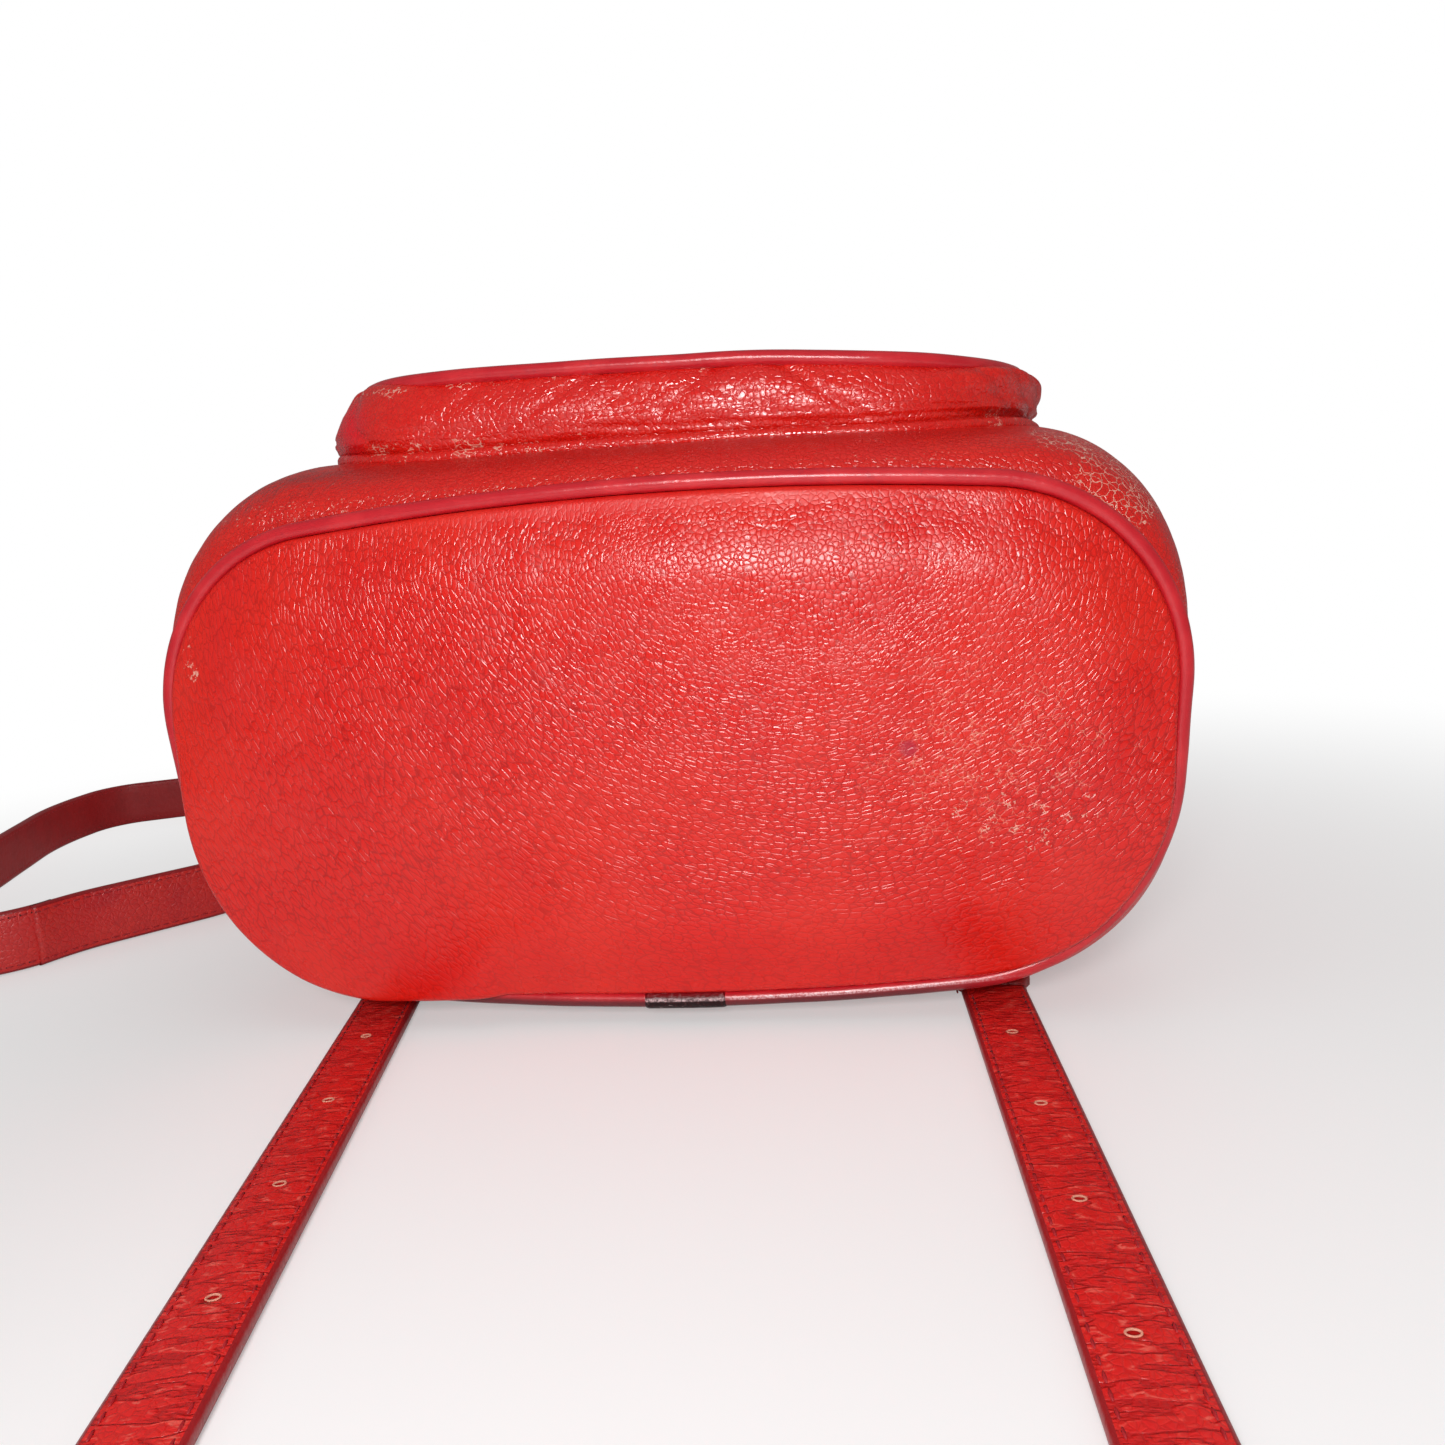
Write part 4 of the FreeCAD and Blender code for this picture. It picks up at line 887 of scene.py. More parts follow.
def make_sleeve():
    """Band round the joint of the piping, with its two edges turned in."""
    count = 30
    ring = seam_ring(SEAM_Y, 0.0, 2880)
    xs = np.linspace(SLEEVE_FROM, SLEEVE_TO, count)
    low = ring[ring[:, 2] < -50]
    order = np.argsort(low[:, 0])
    path = row(xs, SEAM_Y, np.interp(xs, low[order, 0], low[order, 2]))
    radius = np.full(count, 2.5)
    radius[[0, -1]] = 2.25
    sections = tube_sections(path, radius + 0.03 * wave(path, 3.0, 4.0), False, sides=24, up=(0, 1, 0))
    swept("piping_sleeve_band", path, sections, [SLEEVE], "bag", replaces=["piping_sleeve"], slot="sleeve")


# Body walls, lining and binding

def body_grid(ys, offset, count=480):
    """Rings of the bag at each distance from the base."""
    rings = [body_ring(y, offset, count) for y in ys]
    return np.array([row(ring[:, 0], y, ring[:, 1]) for y, ring in zip(ys, rings)])


def settle(grid, amount):
    """Soft dents and slack in a wall, fading near the base seam, the mouth and the floor."""
    normal = grid_normals(grid, True)
    y = grid[..., 1]
    free = smooth_step(6.0, 40.0, y) * (1 - smooth_step(240.0, 270.0, y))
    free *= smooth_step(-66.0, -52.0, grid[..., 2])
    slack = wave(grid, 46.0, 11.0) + wave(grid, 19.0, 12.0) * 0.45 - 0.5
    under_flap = (grid[..., 2] > 40) & (y > 165)
    slack = np.where(under_flap, np.clip(slack, -1.2, 0.3), slack)
    return grid - normal * (slack * free * amount)[..., None]


BODY_YS = [5.2, 5.8, 6.6, 7.8, 9.4, 11.4, 14.0, 17.0, 20.5, 24.5] + list(np.linspace(29, 276.8, 64))
# Height at which the front wall and the back panel meet on both sides
BACK_SPLIT_Z = -48.0


# Ripples that the seam pulls into the front wall: middle and reach along y, and depth
RIPPLE_Y = 11.0
RIPPLE_REACH = 4.0
RIPPLE_DEPTH = 0.35


def make_body():
    """Front wall and back panel with a sewn seam's ripples near the base, and the lining."""
    grid = body_grid(BODY_YS, 0.0)
    outward = grid_normals(grid, True)
    if np.mean(outward[..., 2][grid[..., 2] > 50]) < 0:
        outward = -outward
    near = np.exp(-((grid[..., 1] - RIPPLE_Y) / RIPPLE_REACH) ** 2) * smooth_step(20.0, 60.0, grid[..., 2])
    grid = settle(grid, 0.9)
    grid += outward * (near * wave(grid * [1, 0.35, 1], 7.0, 21.0) * RIPPLE_DEPTH)[..., None]
    count = grid.shape[1]
    middle_ring = 40
    back = np.where(grid[middle_ring, :, 2] < BACK_SPLIT_Z)[0]
    first = back[back > count // 2].min()
    last = back[back < count // 2].max()
    front = grid[:, last:first + 1]
    rear = np.concatenate([grid[:, first:], grid[:, :last + 1]], 1)
    for name, wall, node in (("body_front_leather", front, "body_front"),
                             ("body_back_leather", rear, "back_panel")):
        thick_sheet(name, wall, 2.2, BODY_SIDES, "bag", replaces=[node], slot="body_leather", flip=True)
    lining = body_grid(np.linspace(5.6, 276.5, 50), -2.8, 300)
    floor_rings = [lining[0] * [s, 1, s] + [0, 0.2, 0] for s in (0.03, 0.4, 0.8)]
    lining = np.concatenate([np.array(floor_rings), lining], 0)
    thick_sheet("body_lining_cloth", lining, 0.6, [CLOTH], "bag", closed=True, flip=True,
                replaces=["body_lining"], slot="lining")


def make_binding():
    """Folded strip over the mouth's edge."""
    profile = [(1.1, 265.3), (1.25, 270.0), (1.2, 275.5), (0.9, 277.4), (-0.4, 278.1), (-2.4, 278.1),
               (-3.9, 277.6), (-4.4, 275.5), (-4.45, 270.0), (-4.3, 265.5)]
    rows = [body_grid([min(y, MOUTH_Y)], offset)[0] + [0, max(y - MOUTH_Y, 0.0), 0] for offset, y in profile]
    thick_sheet("mouth_binding_strip", np.array(rows), 0.5, [PIPING], "bag", closed=True, flip=True,
                replaces=["mouth_binding"], slot="piping_leather")


def bent_leather(name, grid, slack, thickness, materials, body, node, slot, place=np.asarray):
    """A flap's layer from a grid that may face either way, raised by its slack; place moves it last."""
    turned = not looks_up(grid)
    raised = grid + grid_normals(grid, False) * (-1 if turned else 1) * slack[..., None]
    thick_sheet(name, place(raised), thickness, materials, body, flip=turned, replaces=[node], slot=slot)


# Pocket

POCKET_TOP = 99.5
POCKET_HALF = 97.75
POCKET_BOTTOM = 26.0
POCKET_CORNER = 47.0
# How far the pocket's rim drops at its right end
POCKET_SAG = 4.2


def plan_line(inset, count, top_y=150.0, flare=0.0):
    """Left side, round corner, bottom, round corner, right side of the pocket's outline."""
    x0 = POCKET_X - POCKET_HALF + inset - 8.5 * flare
    x1 = POCKET_X + POCKET_HALF - inset + 3.5 * flare
    y0 = POCKET_BOTTOM + inset
    r = POCKET_CORNER - inset
    parts = [
        [(x0, top_y), (x0, y0 + r)],
        sweep_arc((x0 + r, y0 + r), (x0, y0 + r), (x0 + r, y0), 24)[1:],
        [(x1 - r, y0)],
        sweep_arc((x1 - r, y0 + r), (x1 - r, y0), (x1, y0 + r), 24)[1:],
        [(x1, top_y)],
    ]
    return resample(np.vstack(parts), count, closed=False)


def sagged(points):
    """The pocket's rim drops a little towards its right end."""
    out = points.copy()
    drop = POCKET_SAG * smooth_step(15.0, 100.0, points[..., 0])
    out[..., 2] -= drop * np.clip((points[..., 2] - 83.0) / 16.0, 0.0, 1.0)
    return tilted(out)


def skin_height(xy):
    """Height of the body's front under each point, in the pocket's own untilted frame."""
    heights = np.empty(len(xy))
    for index, (x, y) in enumerate(xy):
        heights[index] = front_heights(y, 0.0, np.array([x]))[0]
    c, s = math.cos(TILT), math.sin(TILT)
    return BELLY_FRONT + ((heights - BELLY_FRONT) + (xy[:, 0] - POCKET_X) * s) / c


# Sewn lip: millimetres out from the pocket's outline and up from the body
GUSSET_LIP = [(2.7, -0.8), (2.95, 0.1), (2.9, 0.9), (2.5, 1.6), (1.9, 1.9), (1.3, 1.8), (0.8, 1.3),
              (0.4, 1.1)]
# Folds across the band: place along it, lean, depth and width in millimetres
GUSSET_CROSS_FOLDS = [(104.0, 40.0, 1.3, 3.6), (118.0, -26.0, 0.7, 2.4), (150.0, 24.0, 0.4, 2.6),
                      (176.0, 34.0, 0.45, 2.8), (214.0, 22.0, 0.35, 2.4), (252.0, -30.0, 0.8, 2.6),
                      (300.0, -24.0, 0.9, 2.4), (312.0, -30.0, 0.8, 2.2), (324.0, -34.0, 0.9, 2.2)]
# Folds along the band: height as a share of it, depth in millimetres, width as a share, phase
GUSSET_LONG_FOLDS = [(0.13, 0.75, 0.035, 0.0), (0.25, 0.6, 0.03, 2.1), (0.36, 0.3, 0.03, 4.0)]


def make_gusset():
    """Slack side band of the pocket, with its sewn lip on the body and folds along it."""
    count = 400
    outline = plan_line(0.0, count, flare=1.0)
    rim = plan_line(0.0, count)
    run = run_along(outline)
    outward = outward_of(unit(np.gradient(outline, axis=0)))
    ground = skin_height(outline)
    out_ground = skin_height(outline + outward * 2.5)
    top = POCKET_TOP - 0.9
    rows = []
    for out, up in GUSSET_LIP:
        base = ground + (out_ground - ground) * out / 2.5
        rows.append(np.column_stack([outline + outward * out, base + up]))
    lip_rows = len(rows)
    shares = np.linspace(0.03, 1.0, 30)
    left_end = smooth_step(-48.0, -86.0, outline[:, 0])
    right_end = smooth_step(72.0, 98.0, outline[:, 0])
    near_front = 1 - 0.75 * smooth_step(38.0, 72.0, outline[:, 1])
    for share in shares:
        round_out = math.sin(math.pi * min(share, 0.985) ** 0.8) ** 0.7
        high = math.sin(math.pi * min(max((share - 0.42) / 0.58, 0.0), 0.99))
        bulge = (3.0 + 3.4 * left_end + 0.4 * right_end) * round_out - share
        bulge += (3.0 * right_end - 2.2 * left_end) * high
        bulge -= 3.2 * right_end * (1 - smooth_step(0.0, 0.3, share))
        line = outline * (1 - share) + rim * share + outward * bulge[:, None]
        up = (ground + 1.3) * (1 - share) + top * share
        up += (1.0 + (4.8 * left_end + 3.6 * right_end) * near_front) * high
        rows.append(np.column_stack([line, up]))
    grid = np.array(rows)
    s = run[None, :]
    share = np.concatenate([np.zeros(lip_rows), shares])[:, None]
    puff = smooth_step(0.0, 0.16, share) * (1 - smooth_step(0.9, 1.0, share))
    fold = np.zeros_like(grid[..., 0])
    for at, lean, deep, width in GUSSET_CROSS_FOLDS:
        fold += deep * np.exp(-((s - at - lean * (share - 0.5)) / width) ** 2)
    for level, deep, wide, phase in GUSSET_LONG_FOLDS:
        path = level + 0.035 * np.sin(s / 23.0 + phase) + 0.012 * np.sin(s / 7.0 + phase)
        fold += deep * np.exp(-((share - path) / wide) ** 2) * (0.6 + 0.4 * np.sin(s / 31.0 + phase * 2))
    slack = wave(grid * [0.5, 0.5, 1.3], 6.0, 41.0) * 0.45 + wave(grid, 16.0, 42.0) * 0.8 - fold
    grid[..., :2] += outward[None] * (slack * puff)[..., None]
    grid[..., 2] += puff * wave(grid * [0.5, 0.5, 1.3], 8.0, 43.0) * 0.4
    thick_sheet("pocket_side_band", sagged(grid), 1.5, POCKET_SIDES, "bag",
                replaces=["pocket_gusset"], slot="pocket_leather")
    seam = np.column_stack([outline + outward * 0.55, ground + 1.28])[4:-4]
    add_stitch_line("bag", sagged(seam), UP)


def make_pocket_front():
    """Slightly crowned front of the pocket inside its piping."""
    count, top_y, crown_z = 200, 149.8, 100.8
    rows = []
    for inset, z in ((2.6, 98.0), (2.9, 98.7), (3.6, 99.4), (5.0, 99.9), (8.0, 100.4), (14.0, crown_z)):
        line = plan_line(inset, count, top_y=top_y)
        rows.append(row(line[:, 0], line[:, 1], z))
    last = rows[-1]
    for share in (0.9, 0.75, 0.6, 0.45, 0.3, 0.15, 0.02):
        rows.append(row(POCKET_X + (last[:, 0] - POCKET_X) * share, top_y + (last[:, 1] - top_y) * share,
                        crown_z + 0.3 * (1 - share)))
    grid = np.array(rows)
    grid[..., 2] += wave(grid, 22.0, 51.0) * 0.3
    thick_sheet("pocket_front_leather", sagged(grid), 2.0, POCKET_SIDES, "bag",
                replaces=["pocket_front"], slot="pocket_leather")


def make_pocket_piping():
    line = plan_line(0.5, 420)
    path = row(line[:, 0], line[:, 1], POCKET_TOP)
    path[:, 2] += wave(path, 24.0, 52.0) * 0.25
    path = sagged(path)
    sections = tube_sections(path, PIPE_R * 0.97, False, up=(0, 0, 1))
    swept("pocket_piping_cord", path, sections, [PIPING], "bag", replaces=["pocket_piping"],
          slot="piping_leather")


def make_pocket_flap():
    """Leather bent over the pocket's mouth and down its front, hinged at its sewn root."""
    half, tip, corner = 90.0, 98.0, 32.0
    back_y, top_z, bend = 152.8, 103.4, 5.5
    root_z, columns = 74.0, 90
    profile = [(back_y, z) for z in np.linspace(root_z, top_z - bend, 12)]
    profile += [(back_y - bend + bend * math.cos(a), top_z - bend + bend * math.sin(a))
                for a in np.linspace(0, math.pi / 2, 9)[1:]]
    profile += [(y, top_z) for y in np.linspace(back_y - bend, tip, 34)[1:]]
    rows = []
    for y, z in profile:
        reach = half
        if y < tip + corner and z > top_z - 0.1:
            reach = half - corner + math.sqrt(max(corner ** 2 - (tip + corner - y) ** 2, 0.0))
        rows.append(row(POCKET_X + np.linspace(-1, 1, columns) * reach, y, z))
    grid = np.array(rows)
    slack = 0.35 * wave(grid, 26.0, 61.0) * smooth_step(0, 14, np.arange(len(rows)))[:, None]
    bent_leather("pocket_flap_leather", grid, 1.2 + np.abs(slack), 2.2, POCKET_SIDES, "pocket_cover",
                 "pocket_flap", "pocket_leather", sagged)


# Flap over the mouth

def make_main_flap():
    """Flap from the back over the mouth and down the front, with its lining."""
    half, tip, corner, rounding, columns = 90.0, 172.0, 42.0, 7.0, 96
    across = np.linspace(-1, 1, columns)

    def hood(name, offset, end_y, start_z, inset, thickness, materials, node, slot):
        """One layer: up past the mouth's end, round the bend and down the front."""
        wide, low, corner_r = half - inset, tip + inset, corner - inset
        xs = across * wide
        bend_y = end_y - rounding
        end_top = front_heights(MOUTH_Y, offset, xs) - rounding
        front_top = front_heights(bend_y, offset, xs)
        grid = []
        for share in np.linspace(0.0, 1.0, 26):
            grid.append(row(xs, end_y, start_z + (end_top - start_z) * share))
        for share in np.linspace(0.0, 1.0, 9):
            a = share * math.pi / 2
            z = end_top + rounding * math.sin(a) + (front_top - end_top - rounding) * share
            grid.append(row(xs, bend_y + rounding * math.cos(a), z))
        for y in np.linspace(bend_y, low, 40)[1:]:
            reach = wide
            if y < low + corner_r:
                reach = wide - corner_r + math.sqrt(max(corner_r ** 2 - (low + corner_r - y) ** 2, 0.0))
            here = across * reach
            grid.append(row(here, y, front_heights(y, offset, here)))
        grid = np.array(grid)
        slack = np.abs(wave(grid, 30.0, 71.0)) * 0.6 * smooth_step(0, 26, np.arange(len(grid)))[:, None]
        bent_leather(name, grid, slack, thickness, materials, "flap", node, slot)

    hood("main_flap_leather", 5.0, 281.8, -66.0, 0.0, 2.3, BODY_SIDES, "main_flap", "body_leather")
    hood("main_flap_cloth", 2.6, 279.4, -52.0, 5.0, 0.5, [CLOTH], "main_flap_lining", "lining")


# Straps

TWIST_START = 78.0
TWIST_LENGTH = 80.0
# The last run of a strap lies a little higher, on its keepers
KEEPER_LIFT = 1.9
KEEPER_RUN = 58.0
LIFT_RUN = 60.0
LEFT_ROUTE = [(-45, HINGE_Y), (-45, 284), (-140, 338), (-344, 247), (-344, 204), (-286, 48), (-234, 28),
              (-223, 62), (-160, 132), (-160, 200)]
LEFT_RADII = [22, 60, 24, 110, 36, 30, 60, 50]
RIGHT_ROUTE = [(45, HINGE_Y), (45, 284), (165, 352), (165, 428), (-281, 428), (-281, 366), (-175, 366)]
RIGHT_RADII = [22, 34, 30, 30, 28]


def rounded_route(points, radii, step):
    """Points at even steps along straight runs joined by arcs."""
    points = [np.array(p, float) for p in points]
    line = [points[0]]
    for index in range(1, len(points) - 1):
        before, corner, after = points[index - 1], points[index], points[index + 1]
        way_in, way_out = unit(corner - before), unit(after - corner)
        turn = math.acos(np.clip(way_in @ way_out, -1, 1))
        radius = radii[index - 1]
        reach = radius * math.tan(turn / 2)
        centre = corner + unit(way_out - way_in) * (radius / math.cos(turn / 2))
        line += list(sweep_arc(centre, corner - way_in * reach, corner + way_out * reach, 24))
    line.append(points[-1])
    line = np.array(line)
    total = run_along(line)[-1]
    return resample(line, int(total / step) + 1, closed=False), total


def strap_frames(route, radii, roll, step=2.0):
    """Middle line of a strap with its across and outward directions, rolled onto its edge."""
    line, total = rounded_route(route, radii, step)
    heading = unit(np.gradient(line, axis=0))
    run = run_along(line)
    twist = roll * math.pi / 2 * smooth_step(TWIST_START, TWIST_START + TWIST_LENGTH, run)
    lift = KEEPER_LIFT * np.clip(1.0 - (total - KEEPER_RUN - run) / LIFT_RUN, 0.0, 1.0)
    side = row(-heading[:, 1], heading[:, 0], 0.0)
    wide = side * np.cos(twist)[:, None] + UP * np.sin(twist)[:, None]
    thick = UP * np.cos(twist)[:, None] - side * np.sin(twist)[:, None]
    rise = np.abs(np.sin(twist)) * STRAP_W / 2 + np.abs(np.cos(twist)) * STRAP_T / 2
    middle = np.column_stack([line, FLOOR + rise + lift])
    return middle, wide, thick, row(heading[:, 0], heading[:, 1], 0.0), run


def strip_section(width, thickness, crown=0.25):
    """Cross-section of a stitched strip, its grain side crowned and its edges round, and its faces' kinds."""
    w, t = width / 2, thickness / 2
    r = min(t * 0.9, 1.0)
    grain = [(-w + r, t), (-w + 2.2, t + 0.02), (-w + 3.2, t + crown * 0.7), (-w * 0.4, t + crown)]
    edge = [(w - 0.25 * r, t - 0.3 * r), (w, 0.25 * t), (w, -0.25 * t), (w - 0.25 * r, -t + 0.3 * r)]
    lining = [(x, -t) for x in (w - r, w * 0.5, 0.0, -w * 0.5, -w + r)]
    points = grain + [(0.0, t + crown)] + mirrored(grain) + edge + lining + mirrored(edge)
    kinds = [OUTER] * 8 + [SIDE] * 5 + [INNER] * 4 + [SIDE] * 5
    return np.array(points), kinds


STITCH_LINES = {}
# Depth of the stitches on a strap's back, so that the sliding keepers clear them
BACK_STITCH_SINK = 0.15


def add_stitch_line(body, line, out):
    """Keeps a row of seam points and the directions out of the leather, for its stitches."""
    line = np.asarray(line, float)
    STITCH_LINES.setdefault(body, []).append((line, np.broadcast_to(np.asarray(out, float), line.shape)))


def run_strip(name, frames, width, body, node, shape=None):
    """A strip along frames with stitches on both its sides; shape(run) narrows it."""
    middle, wide, thick, _, run = frames
    section, kinds = strip_section(width, STRAP_T)
    share = np.ones(len(middle)) if shape is None else shape(run)
    sections = (middle[:, None] + wide[:, None] * (section[None, :, :1] * share[:, None, None])
                + thick[:, None] * section[None, :, 1:])
    bend = wave(middle * [1, 1, 0.2] + run[:, None] * 0.01, 18.0, 81.0) * 0.12
    sections += thick[:, None] * bend[:, None, None]
    swept(name, middle, sections, STRAP_SIDES, body, face_mats=kinds, replaces=[node], slot="strap_leather")
    for side in (-1, 1):
        inset = (width / 2 * share - 2.2)[:, None] * side
        add_stitch_line(body, middle + wide * inset + thick * (STRAP_T / 2 + bend[:, None]), thick)
        deep = STRAP_T / 2 - BACK_STITCH_SINK - bend[:, None]
        add_stitch_line(body, middle + wide * inset - thick * deep, -thick)


def place_local(points, frames):
    """Points drawn with x along the strap's end, y across it and z out of its grain side."""
    middle, wide, thick, forward, _ = frames
    p = np.asarray(points, float)
    return middle[-1] + p[..., :1] * forward[-1] + p[..., 1:2] * wide[-1] + p[..., 2:] * thick[-1]


def make_keeper(name, frames, back, body, node):
    """Leather loop, rounded at its corners."""
    inner_w, low, high, wall, width, bend = 21.6, 1.8, 5.1, 1.4, 7.0, 1.4
    half = inner_w / 2 + wall / 2 - bend
    top, bottom = high + wall / 2 - bend, -low - wall / 2 + bend
    path = []
    for cy, cz, a0 in ((half, top, 0), (-half, top, 90), (-half, bottom, 180), (half, bottom, 270)):
        for a in np.radians(np.linspace(a0, a0 + 90, 7)):
            path.append((cy + bend * math.cos(a), cz + bend * math.sin(a)))
    path = resample(np.array(path), 90)
    # Section of the loop's wall: along the strap and away from the wall's middle
    w = width / 2
    grain = [(-w, 0.0), (-w + 0.12, 0.45), (-w + 0.6, 0.68), (-w / 2, 0.7)]
    lining = [(w - 0.5, -0.68), (0, -0.7), (-w + 0.5, -0.68)]
    offs = grain + [(0, 0.72)] + mirrored(grain) + lining
    out = outward_of(loop_heading(path))
    sections = np.zeros((len(path), len(offs), 3))
    for index, (along, away) in enumerate(offs):
        sections[:, index, 0] = width / 2 - back + along
        sections[:, index, 1:] = path + out * away
    grid = place_local(sections, frames)
    kinds = [SIDE] + [OUTER] * 6 + [SIDE] + [INNER] * 4
    swept(name, grid[:, 0], grid, PATCH_SIDES, body, closed=True, face_mats=kinds,
          replaces=[node], slot="strap_leather")


# Width of a strap's narrowed end, and half length of its sewn root
END_W = 17.0
ROOT_HALF = 10.5


def make_strap(side, route, radii, roll):
    """Shoulder strap with its two keepers, its folded end and its sewn root."""
    frames = strap_frames(route, radii, roll)
    body = "strap_" + side
    end_share = END_W / STRAP_W

    def narrow(run):
        return end_share + (1 - end_share) * smooth_step(0.0, 9.0, run[-1] - run)

    run_strip("shoulder_strap_" + side + "_leather", frames, STRAP_W, body, "shoulder_strap_" + side, narrow)
    # Folded end round the buckle's bar, with the prong's slot between two cheeks
    neck, barrel_r = 7.0, 2.95
    for sign, word in ((1, "upper"), (-1, "lower")):
        y0, y1 = sign * 1.8, sign * 8.5
        outline = [(-1.0, 1.5)] + [(neck + barrel_r * math.cos(a), barrel_r * math.sin(a))
                                   for a in np.radians(np.linspace(125, -125, 22))] + [(-1.0, -1.5)]
        rows = []
        for y, grow in ((y0, -0.3), (y0 + sign * 0.3, 0.0), (y1 - sign * 0.3, 0.0), (y1, -0.3)):
            rows.append([(x, y, z * (1 + grow / 3)) for x, z in outline])
        sections = place_local(np.array(rows), frames)
        if sign < 0:
            sections = sections[::-1]
        swept("strap_fold_" + word + "_" + side, sections[:, 0], sections, [PATCH_LEATHER], body,
              slot="strap_leather")
    make_keeper("fixed_keeper_" + side + "_loop", frames, 20.0, body, "fixed_keeper_" + side)
    make_keeper("sliding_keeper_" + side + "_loop", frames, 40.0, "keeper_" + side, "sliding_keeper_" + side)
    root = row(route[0][0] + np.linspace(-ROOT_HALF, ROOT_HALF, 8), HINGE_Y, FLOOR + STRAP_T / 2)
    sections = tube_sections(root, 1.5, False, up=(0, 0, 1))
    swept("strap_root_" + side, root, sections, [EDGE], body, slot="strap_leather")


HOLE_HALF = 1.1
HOLE_SQUEEZE = 0.6
HOLES = [28.0, 62.0, 96.0, 130.0, 164.0]
# Lengths at the tongue's end: without stitches, and pointed
PLAIN_END = 8.0
POINT_RUN = 6.5


def make_tongue(side, sign, turn_deg):
    """Strap end with punched holes, from its sewn root to its pointed tip."""
    turn = math.radians(turn_deg)
    start = np.array([sign * TONGUE_X, TONGUE_Y, FLOOR + STRAP_T / 2])
    heading = np.array([math.sin(turn), -math.cos(turn), 0.0])
    wide = np.array([-heading[1], heading[0], 0.0])
    body = "tongue_" + side
    tip, plain = TONGUE_LENGTH - POINT_RUN, TONGUE_LENGTH - PLAIN_END
    along = np.unique(np.concatenate([np.arange(0, tip, 1.5), np.linspace(plain, TONGUE_LENGTH, 9)]))
    section, kinds = strip_section(TONGUE_W, STRAP_T, 0.2)
    share = np.where(along > tip, 1 - (along - tip) / (TONGUE_W / 2), 1.0)
    middle = start + heading * along[:, None]
    sections = (middle[:, None] + wide * (section[None, :, :1] * share[:, None, None])
                + UP * section[None, :, 1:])
    piece = swept(body + "_leather", middle, sections, [TONGUE, STRAP_BACK, EDGE], body,
                  face_mats=kinds, replaces=["strap_tongue_" + side], slot="strap_leather")
    for index, at in enumerate(HOLES):
        centre = start + heading * at
        punch_hole(piece, centre, math.atan2(wide[1], wide[0]))
        turns = np.linspace(0, 2 * math.pi, 28, endpoint=False)[:, None]
        reach = HOLE_HALF + 0.15
        path = (centre + UP * (STRAP_T / 2 + 0.16) + wide * reach * np.cos(turns)
                + heading * (reach * HOLE_SQUEEZE + 0.08) * np.sin(turns))
        rim = tube_sections(path, 0.22, True, sides=8, up=(0, 0, 1))
        swept("hole_rim_%s_%d" % (side, index + 1), path, rim, [WORN_RIM], body, closed=True,
              slot="strap_leather")
    seam = middle[along < plain]
    for s in (-1, 1):
        add_stitch_line(body, (seam + wide * s * (TONGUE_W / 2 - 2.0) + UP * (STRAP_T / 2 + 0.05))[4:], UP)


def punch_hole(piece, centre, turn):
    """Cuts a slightly flattened round hole through a strip."""
    bpy.ops.mesh.primitive_cylinder_add(vertices=24, radius=HOLE_HALF * MM, depth=12 * MM,
                                        location=tuple(centre * MM))
    drill = bpy.context.object
    drill.rotation_euler = (0, 0, turn)
    drill.scale = (1.0, HOLE_SQUEEZE, 1.0)
    cut = piece.modifiers.new("punch", "BOOLEAN")
    cut.operation = "DIFFERENCE"
    cut.object = drill
    cut.solver = "EXACT"
    depsgraph = bpy.context.evaluated_depsgraph_get()
    punched = bpy.data.meshes.new_from_object(piece.evaluated_get(depsgraph))
    piece.modifiers.remove(cut)
    piece.data = punched
    bpy.data.objects.remove(drill)


def sewn_patch(name, node, start, heading, outline, columns):
    """Patch on the back, from its half widths at distances along its middle line."""
    wide = np.array([heading[1], -heading[0]])
    rows = []
    for along, half in outline:
        points = start + heading * along + wide * np.linspace(-half, half, columns)[:, None]
        rows.append(row(points[:, 0], points[:, 1], FLOOR + 0.02))
    grid = np.array(rows)
    thick_sheet(name, grid, PATCH_T, PATCH_SIDES, "bag", flip=looks_up(grid), replaces=[node],
                slot="strap_leather")


def stitch_patch(start, end, count):
    """Straight row of stitches on the outer face of a patch."""
    line = np.linspace(tuple(start) + (FLOOR - 0.02,), tuple(end) + (FLOOR - 0.02,), count)
    add_stitch_line("bag", line, -UP)


# Half widths of the patches at distances along their middle lines
TAB_OUTLINE = [(0.0, 7.6), (1.0, 8.0), (3.0, 9.2), (6.0, 9.8), (10.0, 9.8), (20.0, 9.8), (33.0, 9.8),
               (35.5, 9.2), (37.2, 7.8), (38.0, 6.8)]
ANCHOR_OUTLINE = [(222.6, 50.5), (223.4, 55.0), (226.5, 59.5), (231.0, 61.5), (236.0, 62.0), (250.0, 62.0),
                  (261.2, 62.0), (262.3, 61.9)]
PATCH_T = 4.2


def make_tab(side, sign, turn_deg):
    """Patch that sews a tongue's root to the back."""
    turn = math.radians(turn_deg)
    heading = np.array([-math.sin(turn), math.cos(turn)])
    start = np.array([sign * TONGUE_X, TONGUE_Y]) + heading * 1.8
    wide = np.array([heading[1], -heading[0]])
    sewn_patch("tongue_tab_" + side + "_patch", "tongue_tab_" + side, start, heading, TAB_OUTLINE, 24)
    for s in (-1, 1):
        stitch_patch(start + heading * 2.0 + wide * s * 9.2, start + heading * 33.0 + wide * s * 9.2, 20)


